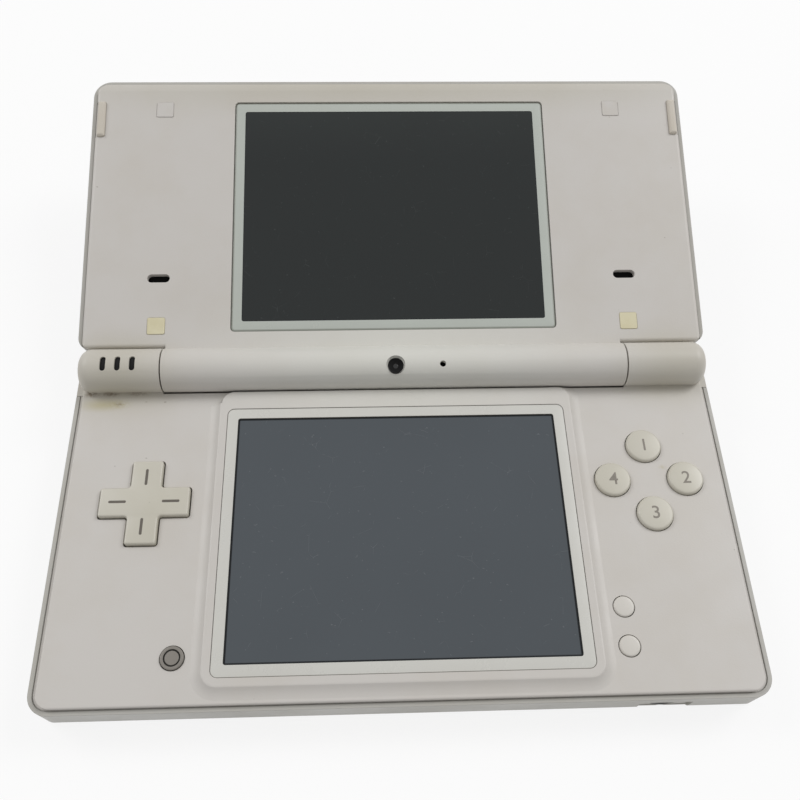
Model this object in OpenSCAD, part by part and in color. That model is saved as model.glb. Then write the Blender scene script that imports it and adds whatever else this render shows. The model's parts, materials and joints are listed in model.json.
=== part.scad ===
// Clamshell handheld game console, lying on its base with the lid open.
// X runs to the player's right, Y away from the player, Z up.
// The origin is the middle of the base's footprint, on the surface that it lies on.
// Lid pieces are drawn in the lid's own axes: Y from the hinge axis to the lid's far edge,
// Z square out of the face that holds the screen, with 0 on the hinge axis.

/* [Casing] */
// Width of the shut console, side to side
console_w = 137; // [134:0.5:146]
// Depth of the shut console, front edge to the back of the hinge
console_d = 74.9; // [74:0.1:80]
// Thickness of the base, from its underside to the plate round the keys
base_t = 10.1; // [9.9:0.1:11.5]
// Thickness of the lid, from its back to the face that holds the screen
lid_t = 7.3; // [7:0.1:9]
// Gap between the lid's face and the key plate when the lid is shut
lid_gap = 1.5; // [1.4:0.1:1.9]
// Wall of the outer shells
wall_t = 1.2; // [1:0.1:1.5]
// Floor of the base shell and back of the lid shell
floor_t = 1.4; // [1.2:0.1:1.5]
// Thickness of the key plate and of the lid's face plate
plate_t = 1.4; // [1.3:0.1:1.6]
// Radius of the corners away from the hinge, seen from above
corner_r = 4; // [3:0.5:6]
// Radius of the corners beside the hinge, seen from above
hinge_corner_r = 2.7; // [1.5:0.1:3]
// Radius of the long edges of the outer shells
edge_r = 3; // [2:0.5:3.5]
// Width of the shell rim that shows round a plate
rim_w = 0.8; // [0.6:0.1:0.9]
// Depth of that rim below the plate
rim_drop = 1.1; // [0.9:0.1:1.2]
// Rounding of the lid plate's outer edge
plate_edge_r = 0.8; // [0.5:0.1:1]
// Rounding of the key plate's outer edge
key_plate_edge_r = 0.35; // [0.2:0.05:0.8]
// Width of the lower step along the sides of the key plate
side_step = 0.65; // [0.4:0.05:0.8]
// Depth of that step below the shell's rim
step_drop = 0.1; // [0.05:0.05:0.2]
// Gap of the seam between a plate and the rim
seam_gap = 0.2; // [0.05:0.01:0.3]
// Width of the rolled far edge of the lid's plate
far_roll_w = 2.6; // [1.5:0.1:3.5]
// Drop of that rolled edge
far_roll_d = 0.5; // [0.3:0.05:0.6]
// Clearance round fixed pieces that drop into a pocket
fit_gap = 0.1; // [0.05:0.01:0.15]

/* [Hinge] */
// Radius of the hinge barrel
hinge_r = 4.7; // [4.6:0.1:5]
// Bore through the barrel and the knuckles
hinge_bore_r = 3.4; // [3.2:0.1:3.5]
// Height of the hinge axis above the key plate
axis_rise = 2; // [1.9:0.1:2.2]
// Side of the base to the inner end of each knuckle
knuckle_w = 18.7; // [17:0.1:20]
// Side of the base to the outer end of each knuckle
knuckle_inset = 1.3; // [1:0.1:1.6]
// Rounding of the knuckles' outer ends
knuckle_round = 2.5; // [2:0.1:2.8]
// Gap between the barrel and each knuckle, end to end
knuckle_gap = 0.3; // [0.2:0.05:0.4]
// Gap round the barrel that lets the lid swing
swing_gap = 0.35; // [0.25:0.05:0.4]
// Angle of the open lid above the table
lid_raise = 15.3; // [0:0.1:60]
// Radius of the hinge shaft
shaft_r = 1.5; // [1.2:0.1:1.8]
// Radial clearance of running fits
run_gap = 0.05; // [0.03:0.01:0.08]
// Length of the friction clutch inside the barrel
clutch_l = 14; // [10:1:18]
// Length that the hollow sleeve reaches into the barrel
sleeve_reach = 6; // [4:0.5:8]

/* [Screens] */
// Width of both viewing windows
window_w = 66.6; // [65:0.1:68]
// Height of both viewing windows
window_h = 51; // [49:0.5:51.5]
// Width of the printed border round the lower window
touch_border = 2.2; // [2:0.1:2.5]
// Width of the printed border round the upper window
pane_border = 2.3; // [2:0.1:2.5]
// Front edge of the base to the lower window
lower_window_y = 7.8; // [7.5:0.1:8.5]
// Hinge axis to the upper window
upper_window_s = 10.8; // [10.5:0.1:12]
// Height of the raised bezel above the key plate
bezel_rise = 1.1; // [0.8:0.1:1.1]
// Rim of the raised bezel outside the touch panel
bezel_rim = 1.4; // [1.2:0.1:1.8]
// Width of the bezel's slope
bezel_slope = 3; // [2:0.1:3.2]
// Radius of the bezel's corners, seen from above
bezel_corner_r = 2.6; // [2:0.1:4]
// Rounding of the bezel's upper edge
bezel_round = 0.9; // [0.5:0.1:0.9]
// Thickness of the touch panel
touch_t = 1.3; // [1.1:0.1:1.4]
// Thickness of the upper window's pane
pane_t = 0.8; // [0.6:0.1:0.9]
// Depth of the upper pane below the lid's face
pane_sink = 0.2; // [0.1:0.05:0.3]
// Radius of the panels' corners
panel_r = 1.4; // [1:0.1:2.6]
// Thickness of each display
display_t = 2.1; // [1.6:0.1:2.2]
// Sheet of the metal display trays
tray_t = 0.3; // [0.2:0.05:0.4]

/* [Keys] */
// Left side of the base to the middle of the direction pad
dpad_inset = 17.5; // [17:0.1:19.5]
// Front edge of the base to the middle of the direction pad
dpad_y = 40.4; // [38:0.1:41]
// Length of the direction pad across two arms
dpad_l = 17.8; // [17:0.1:19]
// Width of an arm of the direction pad
dpad_arm = 6.1; // [5.5:0.1:7.5]
// Fillet between two arms of the direction pad
dpad_fillet = 0.7; // [0.5:0.05:1]
// Clearance round the direction pad
dpad_gap = 0.3; // [0.2:0.05:0.4]
// Right side of the base to the middle of the four round keys
keys_inset = 16.9; // [16.5:0.1:18]
// Front edge of the base to the middle of the four round keys
keys_y = 43.6; // [41:0.1:44]
// Distance of each round key from the middle of the four
key_pitch = 7.55; // [7.2:0.05:8]
// Radius of a round key
key_r = 3.65; // [3.3:0.05:3.7]
// Height of the direction pad and round keys above the plate
key_rise = 1; // [0.7:0.1:1.2]
// Travel of a round key
key_travel = 0.6; // [0.4:0.05:0.65]
// Clearance round the round keys
key_gap = 0.15; // [0.1:0.05:0.2]
// Thickness of the flange that keeps a key in
flange_t = 0.5; // [0.4:0.1:0.6]
// Right side of the base to the two menu keys
menu_inset = 26.1; // [26:0.1:28]
// Front edge of the base to the nearer menu key
menu_y = 9.7; // [8.5:0.1:11]
// Distance between the two menu keys
menu_pitch = 7.5; // [7:0.1:9]
// Radius of a menu key
menu_r = 2; // [1.8:0.1:2.3]
// Height of the menu and power keys above the plate
menu_rise = 0.4; // [0.2:0.1:0.6]
// Travel of a menu key and of the power key
menu_travel = 0.35; // [0.2:0.05:0.4]
// Left side of the base to the power key
power_inset = 25.7; // [25.5:0.1:27]
// Front edge of the base to the power key
power_y = 9.5; // [8.5:0.1:11]
// Radius of the power key
power_r = 2.2; // [2:0.1:2.5]

/* [Edge controls] */
// Height of a shoulder key
shoulder_h = 3.6; // [3:0.1:3.7]
// Reach of a shoulder key round the side of the base
shoulder_reach = 5.8; // [5:0.1:6.2]
// Wall of a shoulder key
shoulder_t = 1.8; // [1.5:0.1:2]
// Play in front of a shoulder key for its swing
shoulder_play = 1; // [0.9:0.1:1.2]
// Length of each volume key
volume_l = 6; // [5:0.5:7]
// Height of each volume key
volume_h = 2; // [1.6:0.1:2.2]
// Front edge of the base to the middle of the volume keys
volume_y = 48; // [46:0.5:50]
// Distance between the volume keys
volume_pitch = 8.4; // [8.2:0.1:9]
// Travel of a volume key
volume_travel = 0.4; // [0.3:0.05:0.5]

/* [Ports] */
// Width of a memory card with its play
sd_w = 24.4; // [24.2:0.1:25]
// Thickness of a memory card with its play
sd_t = 2.4; // [2.3:0.1:2.6]
// Front edge of the base to the middle of the memory card slot
sd_y = 24.7; // [24.5:0.05:24.75]
// Width of a game card with its play
game_w = 34.4; // [33.8:0.1:35]
// Thickness of a game card with its play
game_t = 4.2; // [4.15:0.05:4.3]
// Depth of the game card socket behind the rear wall
game_d = 30; // [28:0.5:31]
// Wall of the card sockets
socket_wall = 0.35; // [0.3:0.05:0.4]
// Length of the stylus
stylus_l = 92; // [85:1:95]
// Radius of the stylus
stylus_r = 2.2; // [2:0.05:2.25]
// Front edge of the base to the stylus
stylus_y = 40.6; // [40.5:0.05:40.65]
// Right side of the base to the headphone jack
jack_inset = 19.6; // [19:0.1:23]
// Radius of the headphone jack's hole
jack_bore_r = 1.8; // [1.75:0.05:1.9]
// Width of the recess round the headphone jack
jack_recess_w = 9.8; // [9:0.1:12]
// Depth of the recess round the headphone jack
jack_recess_d = 0.6; // [0.3:0.05:0.6]
// Land above the headphone jack's hole in its recess
jack_land = 0.8; // [0.6:0.1:1.2]
// Middle of the base to the charging socket
charge_x = 28; // [26:1:34]
// Width of the charging socket
charge_w = 8.4; // [7.5:0.1:9]
// Height of the charging socket
charge_h = 3.4; // [3:0.1:3.6]

/* [Inside] */
// Thickness of the main board
board_t = 0.8; // [0.6:0.1:0.8]
// Height of the main board's underside
board_z = 5.8; // [5.8:0.05:5.9]
// Width of the battery
battery_w = 50; // [46:1:51]
// Depth of the battery
battery_d = 25; // [22:0.5:25.5]
// Width of the battery's cover
cover_w = 54; // [53:1:57]
// Depth of the battery's cover
cover_d = 31; // [30.5:0.5:32]
// Thickness of the battery's cover
cover_t = 1; // [0.8:0.1:1]
// Radius of the casing screws' shanks
screw_r = 0.8; // [0.7:0.05:0.9]
// Radius of the casing screws' heads
screw_head_r = 1.5; // [1.4:0.1:1.6]
// Radius of the posts that the casing screws pass through
post_r = 2.6; // [2.5:0.1:2.8]
// Side of the base to the casing screws
post_inset = 6.5; // [6.2:0.1:7]
// Front edge of the base to the front casing screws
post_front = 6; // [5.8:0.1:6.2]
// Front edge of the base to the rear casing screws
post_rear = 58.5; // [57.5:0.5:60]

/* [Lid fittings] */
// Middle of the lid to a speaker
speaker_x = 51.6; // [50:0.1:53]
// Hinge axis to the speakers
speaker_s = 20.9; // [20:0.1:24]
// Length of a speaker slot
slot_l = 4.9; // [4:0.1:6]
// Width of a speaker slot
slot_w = 1.9; // [1.5:0.1:2.2]
// Side of the square pads over the lid's screws
pad_side = 3.8; // [3.6:0.1:4]
// Height of the pads above the lid's face
pad_rise = 0.15; // [0.1:0.05:0.5]
// Height of the bumpers above the lid's face
bumper_rise = 0.7; // [0.4:0.1:1]
// Middle of the lid to the square pads
pad_x = 51.7; // [50.5:0.1:53]
// Hinge axis to the nearer pads
pad_near_s = 9.9; // [9.6:0.1:11]
// Lid's far edge to the farther pads
pad_far = 7.9; // [7.5:0.1:9]
// Length of a side bumper
bumper_l = 8.8; // [7:0.1:11]
// Width of a side bumper
bumper_w = 1.8; // [1.6:0.1:2.2]
// Radius of the inner camera's hole
camera_r = 1.95; // [1.8:0.05:2]
// Middle of the barrel to the microphone hole
mic_x = 10; // [9:0.1:14]
// Radius of the microphone hole
mic_r = 0.65; // [0.4:0.05:0.8]
// Top of the barrel to the camera and the microphone, towards the front
camera_shift = 0.6; // [0:0.1:0.8]
// Length of a status light
light_l = 3.1; // [2.4:0.1:3.3]
// Width of a status light
light_w = 1.2; // [0.9:0.05:1.4]
// Distance between status lights
light_pitch = 3.05; // [2.8:0.05:3.3]
// Side of the base to the first status light
light_inset = 7; // [6:0.05:8]
// Top of the knuckle to the status lights, towards the front
light_shift = 0.75; // [0:0.05:1]
// Radius of the outer camera's window
outer_camera_r = 2.6; // [2.2:0.1:3]
// Side of the lid to the outer camera
outer_camera_inset = 10.2; // [10:0.1:11.5]

/* [Hidden] */
$fn = 48;
half_w = console_w / 2;
front_y = -console_d / 2;
rear_y = console_d / 2;
axis_y = rear_y - hinge_r;
plate_z = base_t;
plate_under = plate_z - plate_t;
rim_z = plate_z - rim_drop;
axis_z = plate_z + axis_rise;
inset = rim_w + seam_gap;
side_inset = inset + side_step;
step_z = rim_z - step_drop;
swing_r = hinge_r + swing_gap;
// The shelf under the barrel lies just below the hollow that the barrel turns in.
shelf_drop = 0.05;
shelf_z = axis_z - swing_r - shelf_drop;
shelf_t = 1;
shelf_under = shelf_z - shelf_t;
// Where the knuckle's front meets the key plate.
knuckle_foot_y = axis_y - sqrt(hinge_r * hinge_r - axis_rise * axis_rise);
knuckle_x = half_w - knuckle_w;
knuckle_end_x = half_w - knuckle_inset;
foot_inset = 0.1;
foot_end_x = knuckle_end_x - foot_inset;
end_wall = 1.8;
bore_end_x = knuckle_end_x - end_wall;
barrel_x = knuckle_x - knuckle_gap;
face_n = axis_rise - lid_gap;
back_n = face_n - lid_t;
face_under = face_n - plate_t;
lid_end = console_d - hinge_r;
lid_rim_n = face_n - rim_drop;
lid_inner_back = back_n + floor_t;
lid_start = hinge_r + swing_gap;
bridge_rise = 0.9;
bridge_n = bridge_rise - hinge_r;
roll_r = (far_roll_w * far_roll_w + far_roll_d * far_roll_d) / (2 * far_roll_d);
roll_lift = 0.02;
roll_s = lid_end - inset - far_roll_w;
over = 1;
touch_gap = 0.05;

// Lower screen stack, from the touch panel down.
touch_w = window_w + 2 * touch_border;
touch_h = window_h + 2 * touch_border;
screen_y = front_y + lower_window_y + window_h / 2;
touch_sink = 0.1;
touch_top = plate_z + bezel_rise - touch_sink;
touch_z = touch_top - touch_t;
ledge_w = 0.8;
display_w = window_w + 2 * ledge_w - 2 * fit_gap;
display_h = window_h + 2 * ledge_w - 2 * fit_gap;
lower_display_z = touch_z - touch_gap - display_t;
bezel_half = touch_w / 2 + bezel_rim;
bezel_y = screen_y - touch_h / 2 - bezel_rim;
bezel_land = 0.4;
bezel_rear_y = axis_y - sqrt(swing_r * swing_r - axis_rise * axis_rise) - bezel_land;
bezel_foot = 0.4;
// The hollow of the bezel's slope meets the plate nearly flat and crosses the rounded upper edge.
hollow_drop = 0.03;
hollow_r = (bezel_slope * bezel_slope + bezel_rise * bezel_rise) / (2 * bezel_rise) - 0.85 * bezel_round;
hollow_mid = [bezel_slope, hollow_r - hollow_drop];
bulge_mid = [0, bezel_rise - bezel_round];
mids_apart = norm(hollow_mid - bulge_mid);
crossing = bulge_mid + (hollow_mid - bulge_mid) * (mids_apart - hollow_r + bezel_round) / (2 * mids_apart);

// Upper screen stack, in the lid's axes.
pane_w = window_w + 2 * pane_border;
pane_h = window_h + 2 * pane_border;
pane_s = upper_window_s + window_h / 2;
pane_n = face_n - pane_sink - pane_t;
upper_display_n = face_under - touch_gap - display_t;

// Keys.
board_top = board_z + board_t;
sheet_t = 0.2;
dome_t = 0.1;
membrane_z = board_top + touch_gap;
membrane_top = membrane_z + sheet_t + dome_t;
flange_top = plate_under - fit_gap;
key_foot_z = membrane_top + touch_gap + key_travel;
menu_foot_z = membrane_top + touch_gap + menu_travel;
key_edge_r = 0.5;
flange_w = 0.65;
dpad_x = -half_w + dpad_inset;
dpad_mid_y = front_y + dpad_y;
dpad_flange_w = 0.95;
dpad_flange_r = dpad_l / 2 + dpad_flange_w;
dpad_play = 0.6;
dpad_edge = 0.4;
dome_r = 1.8;
dpad_dome_out = 6.5;
key_dome_r = 2.6;
sheet_margin = 1;
menu_sheet_margin = 1.4;
dpad_flange_z = membrane_top + dpad_play;
keys_x = half_w - keys_inset;
keys_mid_y = front_y + keys_y;
menu_x = half_w - menu_inset;
select_y = front_y + menu_y;
start_y = select_y + menu_pitch;
power_x = -half_w + power_inset;
power_mid_y = front_y + power_y;
mark_l = 3.4;
mark_w = 0.55;
mark_depth = 0.15;
mark_out = 5.3;

// Casing screws of the base.
post_x = half_w - post_inset;
post_places = [for (x = [-post_x, post_x], y = [front_y + post_front, front_y + post_rear]) [x, y]];
post_top = 5;
boss_r = post_r - 0.4;
screw_gap = 0.15;
screw_hole_r = screw_r + screw_gap;
pilot_r = screw_r + 0.02;
head_hole_r = screw_head_r + screw_gap;
plug_r = post_r - 0.3;
plug_t = 0.75;
plug_sink = 0.1;
head_t = 1;
head_z = plug_sink + plug_t + 0.1;
rest_r = 1.2;
rest_side_x = post_x - 2;
rest_side_y = 10;
rest_to_jack = 9;
rest_front_x = half_w - jack_inset - rest_to_jack;
rest_front_y = front_y + 6.45;
rest_rear_x = game_w / 2 + 10.8;
rest_rear_y = 20;
rest_places = [for (side = [-1, 1]) each [[side * rest_side_x, rest_side_y],
  [side * rest_front_x, rest_front_y], [side * rest_rear_x, rest_rear_y]]];

// Edge controls.
shoulder_z = shelf_under - 0.1 - shoulder_h;
shoulder_pin_x = knuckle_x + 2.2;
shoulder_pin_y = rear_y - 2.7;
shoulder_pin_r = 0.8;
shoulder_lug_r = 1.6;
shoulder_front_y = rear_y - shoulder_reach;
volume_z = 4.2;
volume_mid_y = front_y + volume_y;
volume_in = 2.2;
volume_flange = 0.6;

// Ports.
sd_mid_y = front_y + sd_y;
sd_z = board_z - 2 * socket_wall - sd_t;
sd_margin = 0.75;
sd_cover_y0 = sd_mid_y - sd_w / 2 - sd_margin;
sd_cover_y1 = sd_mid_y + sd_w / 2 + sd_margin;
sd_cover_z0 = sd_z - 0.2;
sd_cover_z1 = sd_z + 2 * socket_wall + sd_t + 0.2;
sd_cover_t = wall_t - 0.1;
sd_depth = 30;
door_gap = 0.15;
game_y = rear_y - wall_t - game_d;
stylus_mid_y = front_y + stylus_y;
stylus_gap = 0.1;
stylus_z = floor_t - 0.2 + stylus_r + stylus_gap;
channel_wall = 0.4;
channel_top = board_z - 0.1;
jack_x = half_w - jack_inset;
jack_half = 2.05;
jack_z = board_z - jack_half;
jack_side = 3.4;
jack_l = 10.6;
jack_recess_top = jack_z + jack_bore_r + jack_land;
jack_nose_r = jack_bore_r + 0.6;
charge_z = 2.3;
charge_l = 8;

// Battery bay.
bay_x = -4;
bay_y = front_y + 3.6;
ledge_in = 1.2;
battery_play = 0.25;
battery_y = bay_y + cover_d - ledge_in - battery_play - battery_d;
battery_z = cover_t + touch_gap;
battery_top = board_z - 0.2;
cover_screw_x = 20;
cover_screw_y = bay_y + 2.55;
cover_boss_r = 1.9;
cover_head_t = 0.6;
cover_boss_h = 3.5;
cover_pilot_top = cover_t + cover_boss_h - 0.2;

// Boards.
board_inset = 3.9;
board_rear_y = 26;
wireless_w = 22;
wireless_d = 18;
wireless_x = -half_w + board_inset + wireless_w / 2 + 4.6;
wireless_y = front_y + 19.45;
wireless_t = 0.6;
wireless_drop = 1.4;
wireless_z = board_z - wireless_drop;
wireless_chip_t = 2;
plug_strip_w = 2;
socket_notch = 1.5;
post_notch_r = post_r + 0.6;

// Lid fittings.
far_s = lid_end - pad_far;
pad_places = [for (x = [-pad_x, pad_x], s = [pad_near_s, far_s]) [x, s]];
pad_sink = 0.6;
pad_n = face_n - pad_sink;
pad_corner_r = 0.5;
lid_head_n = pad_n - 0.1;
lid_head_t = 0.8;
lid_post_n = face_under - 1.7;
bumper_x = half_w - 2.4;
bumper_s = lid_end - 10.3;
bumper_n = face_n - 0.8;
speaker_w = 13;
speaker_h = 16;
speaker_t = 3;
outer_camera_x = half_w - outer_camera_inset;
camera_box = 5.8;
lid_post_r = boss_r + 0.2;
outer_camera_s = far_s - lid_post_r - 0.3 - camera_box / 2;
light_x = -half_w + light_inset;
sleeve_in_r = 2.4;
cable_r = 1.8;
light_sink = 0.35;

// ---------- shared shapes ----------

// A rectangle with corner radius low at y0 and high at y1.
module round_rect(x0, x1, y0, y1, low, high) {
  translate([x0, y0 + low]) square([x1 - x0, y1 - y0 - low - high]);
  if (low > 0) {
    translate([x0 + low, y0]) square([x1 - x0 - 2 * low, low + 0.01]);
    for (x = [x0 + low, x1 - low]) translate([x, y0 + low]) circle(low);
  }
  if (high > 0) {
    translate([x0 + high, y1 - high - 0.01]) square([x1 - x0 - 2 * high, high + 0.01]);
    for (x = [x0 + high, x1 - high]) translate([x, y1 - high]) circle(high);
  }
}

// A slab whose plan corners, lower edges and upper edges are rounded.
module rounded_slab(x0, x1, y0, y1, z0, z1, near_r, far_r, low_r, high_r) {
  intersection() {
    translate([0, 0, z0]) linear_extrude(z1 - z0) round_rect(x0, x1, y0, y1, near_r, far_r);
    translate([0, y1 + over, 0]) rotate([90, 0, 0])
      linear_extrude(y1 - y0 + 2 * over) round_rect(x0, x1, z0, z1, low_r, high_r);
    translate([x0 - over, 0, 0]) rotate([90, 0, 90])
      linear_extrude(x1 - x0 + 2 * over) round_rect(y0, y1, z0, z1, low_r, high_r);
  }
}

// A slab with rounded plan corners only.
module slab(x0, x1, y0, y1, z0, z1, r) {
  translate([0, 0, z0]) linear_extrude(z1 - z0) round_rect(x0, x1, y0, y1, r, r);
}

module block(x0, x1, y0, y1, z0, z1) {
  translate([x0, y0, z0]) cube([x1 - x0, y1 - y0, z1 - z0]);
}

// An upright cylinder from z0 to z1.
module post(x, y, z0, z1, r) {
  translate([x, y, z0]) cylinder(h = z1 - z0, r = r);
}

// A cylinder along X, in whichever axes it is used.
module rod(x0, x1, y, z, r) {
  translate([x0, y, z]) rotate([0, 90, 0]) cylinder(h = x1 - x0, r = r);
}

// A cylinder along X on the hinge axis, in the base's axes.
module axis_rod(x0, x1, r) {
  rod(x0, x1, axis_y, axis_z, r);
}

// Turns lid pieces from the lid's own axes to where the open lid holds them.
module on_lid() {
  translate([0, axis_y, axis_z]) rotate([lid_raise, 0, 0]) children();
}

// A round key: a cap with a rounded edge over a flange.
module round_key(x, y, r, z0, top) {
  translate([x, y, 0]) {
    rotate_extrude() {
      translate([0, z0]) square([r, top - z0 - key_edge_r]);
      translate([0, top - key_edge_r - 0.01]) square([r - key_edge_r, key_edge_r + 0.01]);
      translate([r - key_edge_r, top - key_edge_r]) circle(key_edge_r);
    }
    translate([0, 0, flange_top - flange_t]) cylinder(h = flange_t, r = r + flange_w);
  }
}

// A screw with its head down, its head's underside on z0 and its tip on z1.
module screw_up(x, y, z0, seat, z1, head_radius) {
  post(x, y, z0, seat, head_radius);
  post(x, y, seat - 0.01, z1, screw_r);
}

// ---------- base shells ----------

module base_outer() {
  rounded_slab(-half_w, half_w, front_y, rear_y, 0, rim_z, corner_r, hinge_corner_r, edge_r, 0);
}

module shoulder_window() {
  block(knuckle_x + 0.2, half_w + over, shoulder_front_y - shoulder_play, rear_y + over,
        shoulder_z - 0.2, rim_z + over);
}

module battery_bay() {
  slab(bay_x - cover_w / 2 - fit_gap, bay_x + cover_w / 2 + fit_gap, bay_y - fit_gap,
       bay_y + cover_d + fit_gap, -over, cover_t, 2);
  slab(bay_x - cover_w / 2 + ledge_in, bay_x + cover_w / 2 - ledge_in, bay_y + ledge_in,
       bay_y + cover_d - ledge_in, -over, floor_t + over, 1);
}

module cover_boss_places() {
  for (x = [bay_x - cover_screw_x, bay_x + cover_screw_x]) translate([x, cover_screw_y, 0]) children();
}

module stylus_channel() {
  half = stylus_r + stylus_gap + channel_wall;
  block(half_w - stylus_l - over, half_w - wall_t + 0.1, stylus_mid_y - half, stylus_mid_y + half,
        floor_t - 0.1, channel_top);
}

module base_lower_shell() {
  color([0.83, 0.83, 0.80]) difference() {
    union() {
      difference() {
        base_outer();
        rounded_slab(-half_w + wall_t, half_w - wall_t, front_y + wall_t, rear_y - wall_t,
                     floor_t, rim_z + over, corner_r - wall_t, hinge_corner_r - wall_t + 0.2,
                     edge_r - wall_t, 0);
      }
      for (p = post_places) post(p[0], p[1], floor_t - 0.1, post_top, post_r);
      for (p = rest_places) post(p[0], p[1], floor_t - 0.1, board_z, rest_r);
      cover_boss_places() translate([0, 0, cover_t]) cylinder(h = cover_boss_h, r = cover_boss_r);
      stylus_channel();
    }
    slab(-half_w + rim_w, half_w - rim_w, front_y + rim_w, rear_y - rim_w,
         plate_under, rim_z + over, corner_r - rim_w);
    block(-half_w - over, half_w + over, knuckle_foot_y - 0.1, rear_y + over,
          shelf_under, rim_z + over);
    for (p = post_places) {
      post(p[0], p[1], -over, plug_sink + plug_t, plug_r + 0.05);
      post(p[0], p[1], -over, head_z + head_t, head_hole_r);
      post(p[0], p[1], 0, post_top + over, screw_hole_r);
    }
    difference() {
      battery_bay();
      cover_boss_places() translate([0, 0, cover_t]) cylinder(h = cover_boss_h, r = cover_boss_r);
    }
    cover_boss_places() translate([0, 0, -over]) cylinder(h = cover_pilot_top + over, r = pilot_r);
    shoulder_window();
    mirror([1, 0, 0]) shoulder_window();
    for (side = [-1, 1])
      block(-half_w - over, -half_w + wall_t + over,
            volume_mid_y + side * volume_pitch / 2 - volume_l / 2 - key_gap,
            volume_mid_y + side * volume_pitch / 2 + volume_l / 2 + key_gap,
            volume_z - volume_h / 2 - key_gap, volume_z + volume_h / 2 + key_gap);
    block(half_w - wall_t - 0.05, half_w + over, sd_cover_y0 - door_gap, sd_cover_y1 + door_gap,
          sd_cover_z0 - door_gap, sd_cover_z1 + door_gap);
    rod(half_w - stylus_l - door_gap, half_w + over, stylus_mid_y, stylus_z, stylus_r + stylus_gap);
    block(-game_w / 2, game_w / 2, rear_y - wall_t - over, rear_y + over, floor_t, floor_t + game_t);
    block(-game_w / 2 - socket_wall - touch_gap, game_w / 2 + socket_wall + touch_gap,
          rear_y - edge_r - over, rear_y - wall_t, floor_t, board_z);
    block(jack_x - jack_side - touch_gap, jack_x + jack_side + touch_gap, front_y + wall_t,
          front_y + edge_r + over, floor_t, board_z);
    block(charge_x - charge_w / 2 - fit_gap, charge_x + charge_w / 2 + fit_gap,
          rear_y - wall_t - over, rear_y + over, charge_z - fit_gap, charge_z + charge_h + fit_gap);
    block(jack_x - jack_recess_w / 2, jack_x + jack_recess_w / 2, front_y - over,
          front_y + jack_recess_d, floor_t, jack_recess_top);
    translate([jack_x, front_y - over, jack_z]) rotate([-90, 0, 0])
      cylinder(h = wall_t + 2 * over, r = jack_nose_r + fit_gap);
  }
  color([0.83, 0.83, 0.80]) for (side = [-1, 1])
    post(side * shoulder_pin_x, shoulder_pin_y, floor_t - 0.1, shelf_under - 0.05, shoulder_pin_r);
}

// The slope of the bezel, outwards from the edge of its flat top, with 0 on the key plate.
module bezel_section() {
  difference() {
    union() {
      polygon([[-bezel_foot, -bezel_foot], [-bezel_foot, bezel_rise], [0, bezel_rise], crossing,
               [bezel_slope, 0], [bezel_slope, -bezel_foot]]);
      translate(bulge_mid) circle(bezel_round);
    }
    translate(hollow_mid) circle(hollow_r);
  }
}

module bezel() {
  y0 = bezel_y + bezel_corner_r;
  y1 = bezel_rear_y - bezel_corner_r;
  x1 = bezel_half - bezel_corner_r;
  translate([0, 0, plate_z - bezel_foot]) linear_extrude(bezel_foot + bezel_rise)
    round_rect(-bezel_half, bezel_half, bezel_y, bezel_rear_y, bezel_corner_r, bezel_corner_r);
  for (side = [0, 1]) mirror([side, 0, 0])
    translate([bezel_half, y1, plate_z]) rotate([90, 0, 0]) linear_extrude(y1 - y0) bezel_section();
  translate([-x1, bezel_y, plate_z]) mirror([0, 1, 0]) rotate([90, 0, 90])
    linear_extrude(2 * x1) bezel_section();
  for (x = [-x1, x1], y = [y0, y1]) translate([x, y, plate_z])
    rotate_extrude() translate([bezel_corner_r, 0]) bezel_section();
}

// A knuckle: a rod with a rounded outer end, and its foot straight below.
module knuckle_body() {
  difference() {
    axis_rod(knuckle_x, knuckle_end_x, hinge_r);
    translate([0, axis_y, axis_z]) rotate([0, 90, 0]) rotate_extrude()
      translate([hinge_r - knuckle_round, knuckle_end_x - knuckle_round]) difference() {
        square(knuckle_round + over);
        circle(knuckle_round);
      }
  }
  intersection() {
    union() {
      block(knuckle_x, knuckle_end_x, knuckle_foot_y, rear_y, shelf_under, plate_z);
      block(knuckle_x, knuckle_end_x, axis_y, rear_y, shelf_under, axis_z);
    }
    translate([0, 0, shelf_under]) linear_extrude(axis_z - shelf_under)
      round_rect(-foot_end_x, foot_end_x, axis_y - hinge_r, rear_y, knuckle_round, knuckle_round);
  }
}

// The land beside and below a knuckle, level with the rim.
module knuckle_land() {
  intersection() {
    block(knuckle_x, half_w, knuckle_foot_y, rear_y, shelf_under, rim_z);
    translate([0, 0, shelf_under]) linear_extrude(rim_z - shelf_under)
      round_rect(-half_w, half_w, front_y, rear_y, corner_r, hinge_corner_r);
  }
}

module trough() {
  intersection() {
    axis_rod(-knuckle_x - 0.1, knuckle_x + 0.1, swing_r + shelf_t);
    block(-knuckle_x - 0.1, knuckle_x + 0.1, axis_y - swing_r - shelf_t, axis_y + 0.5,
          shelf_under, plate_z);
  }
  block(-knuckle_x - 0.1, knuckle_x + 0.1, axis_y, rear_y, shelf_under, shelf_z);
}

// A cross with rounded ends, and with fillets between its arms up to below its rounded edge.
module cross(l, arm, z0, z1, edge, fillet) {
  reach = arm / 2 + fillet;
  rounded_slab(-l / 2, l / 2, -arm / 2, arm / 2, z0, z1, edge, edge, 0, edge);
  rounded_slab(-arm / 2, arm / 2, -l / 2, l / 2, z0, z1, edge, edge, 0, edge);
  translate([0, 0, z0]) linear_extrude(z1 - z0 - edge) difference() {
    square(2 * reach, center = true);
    for (x = [-reach, reach], y = [-reach, reach]) translate([x, y]) circle(fillet);
  }
}

module key_places() {
  translate([keys_x, keys_mid_y, 0]) for (turn = [0 : 90 : 270])
    translate([key_pitch * cos(turn), key_pitch * sin(turn), 0]) children();
}

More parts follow.
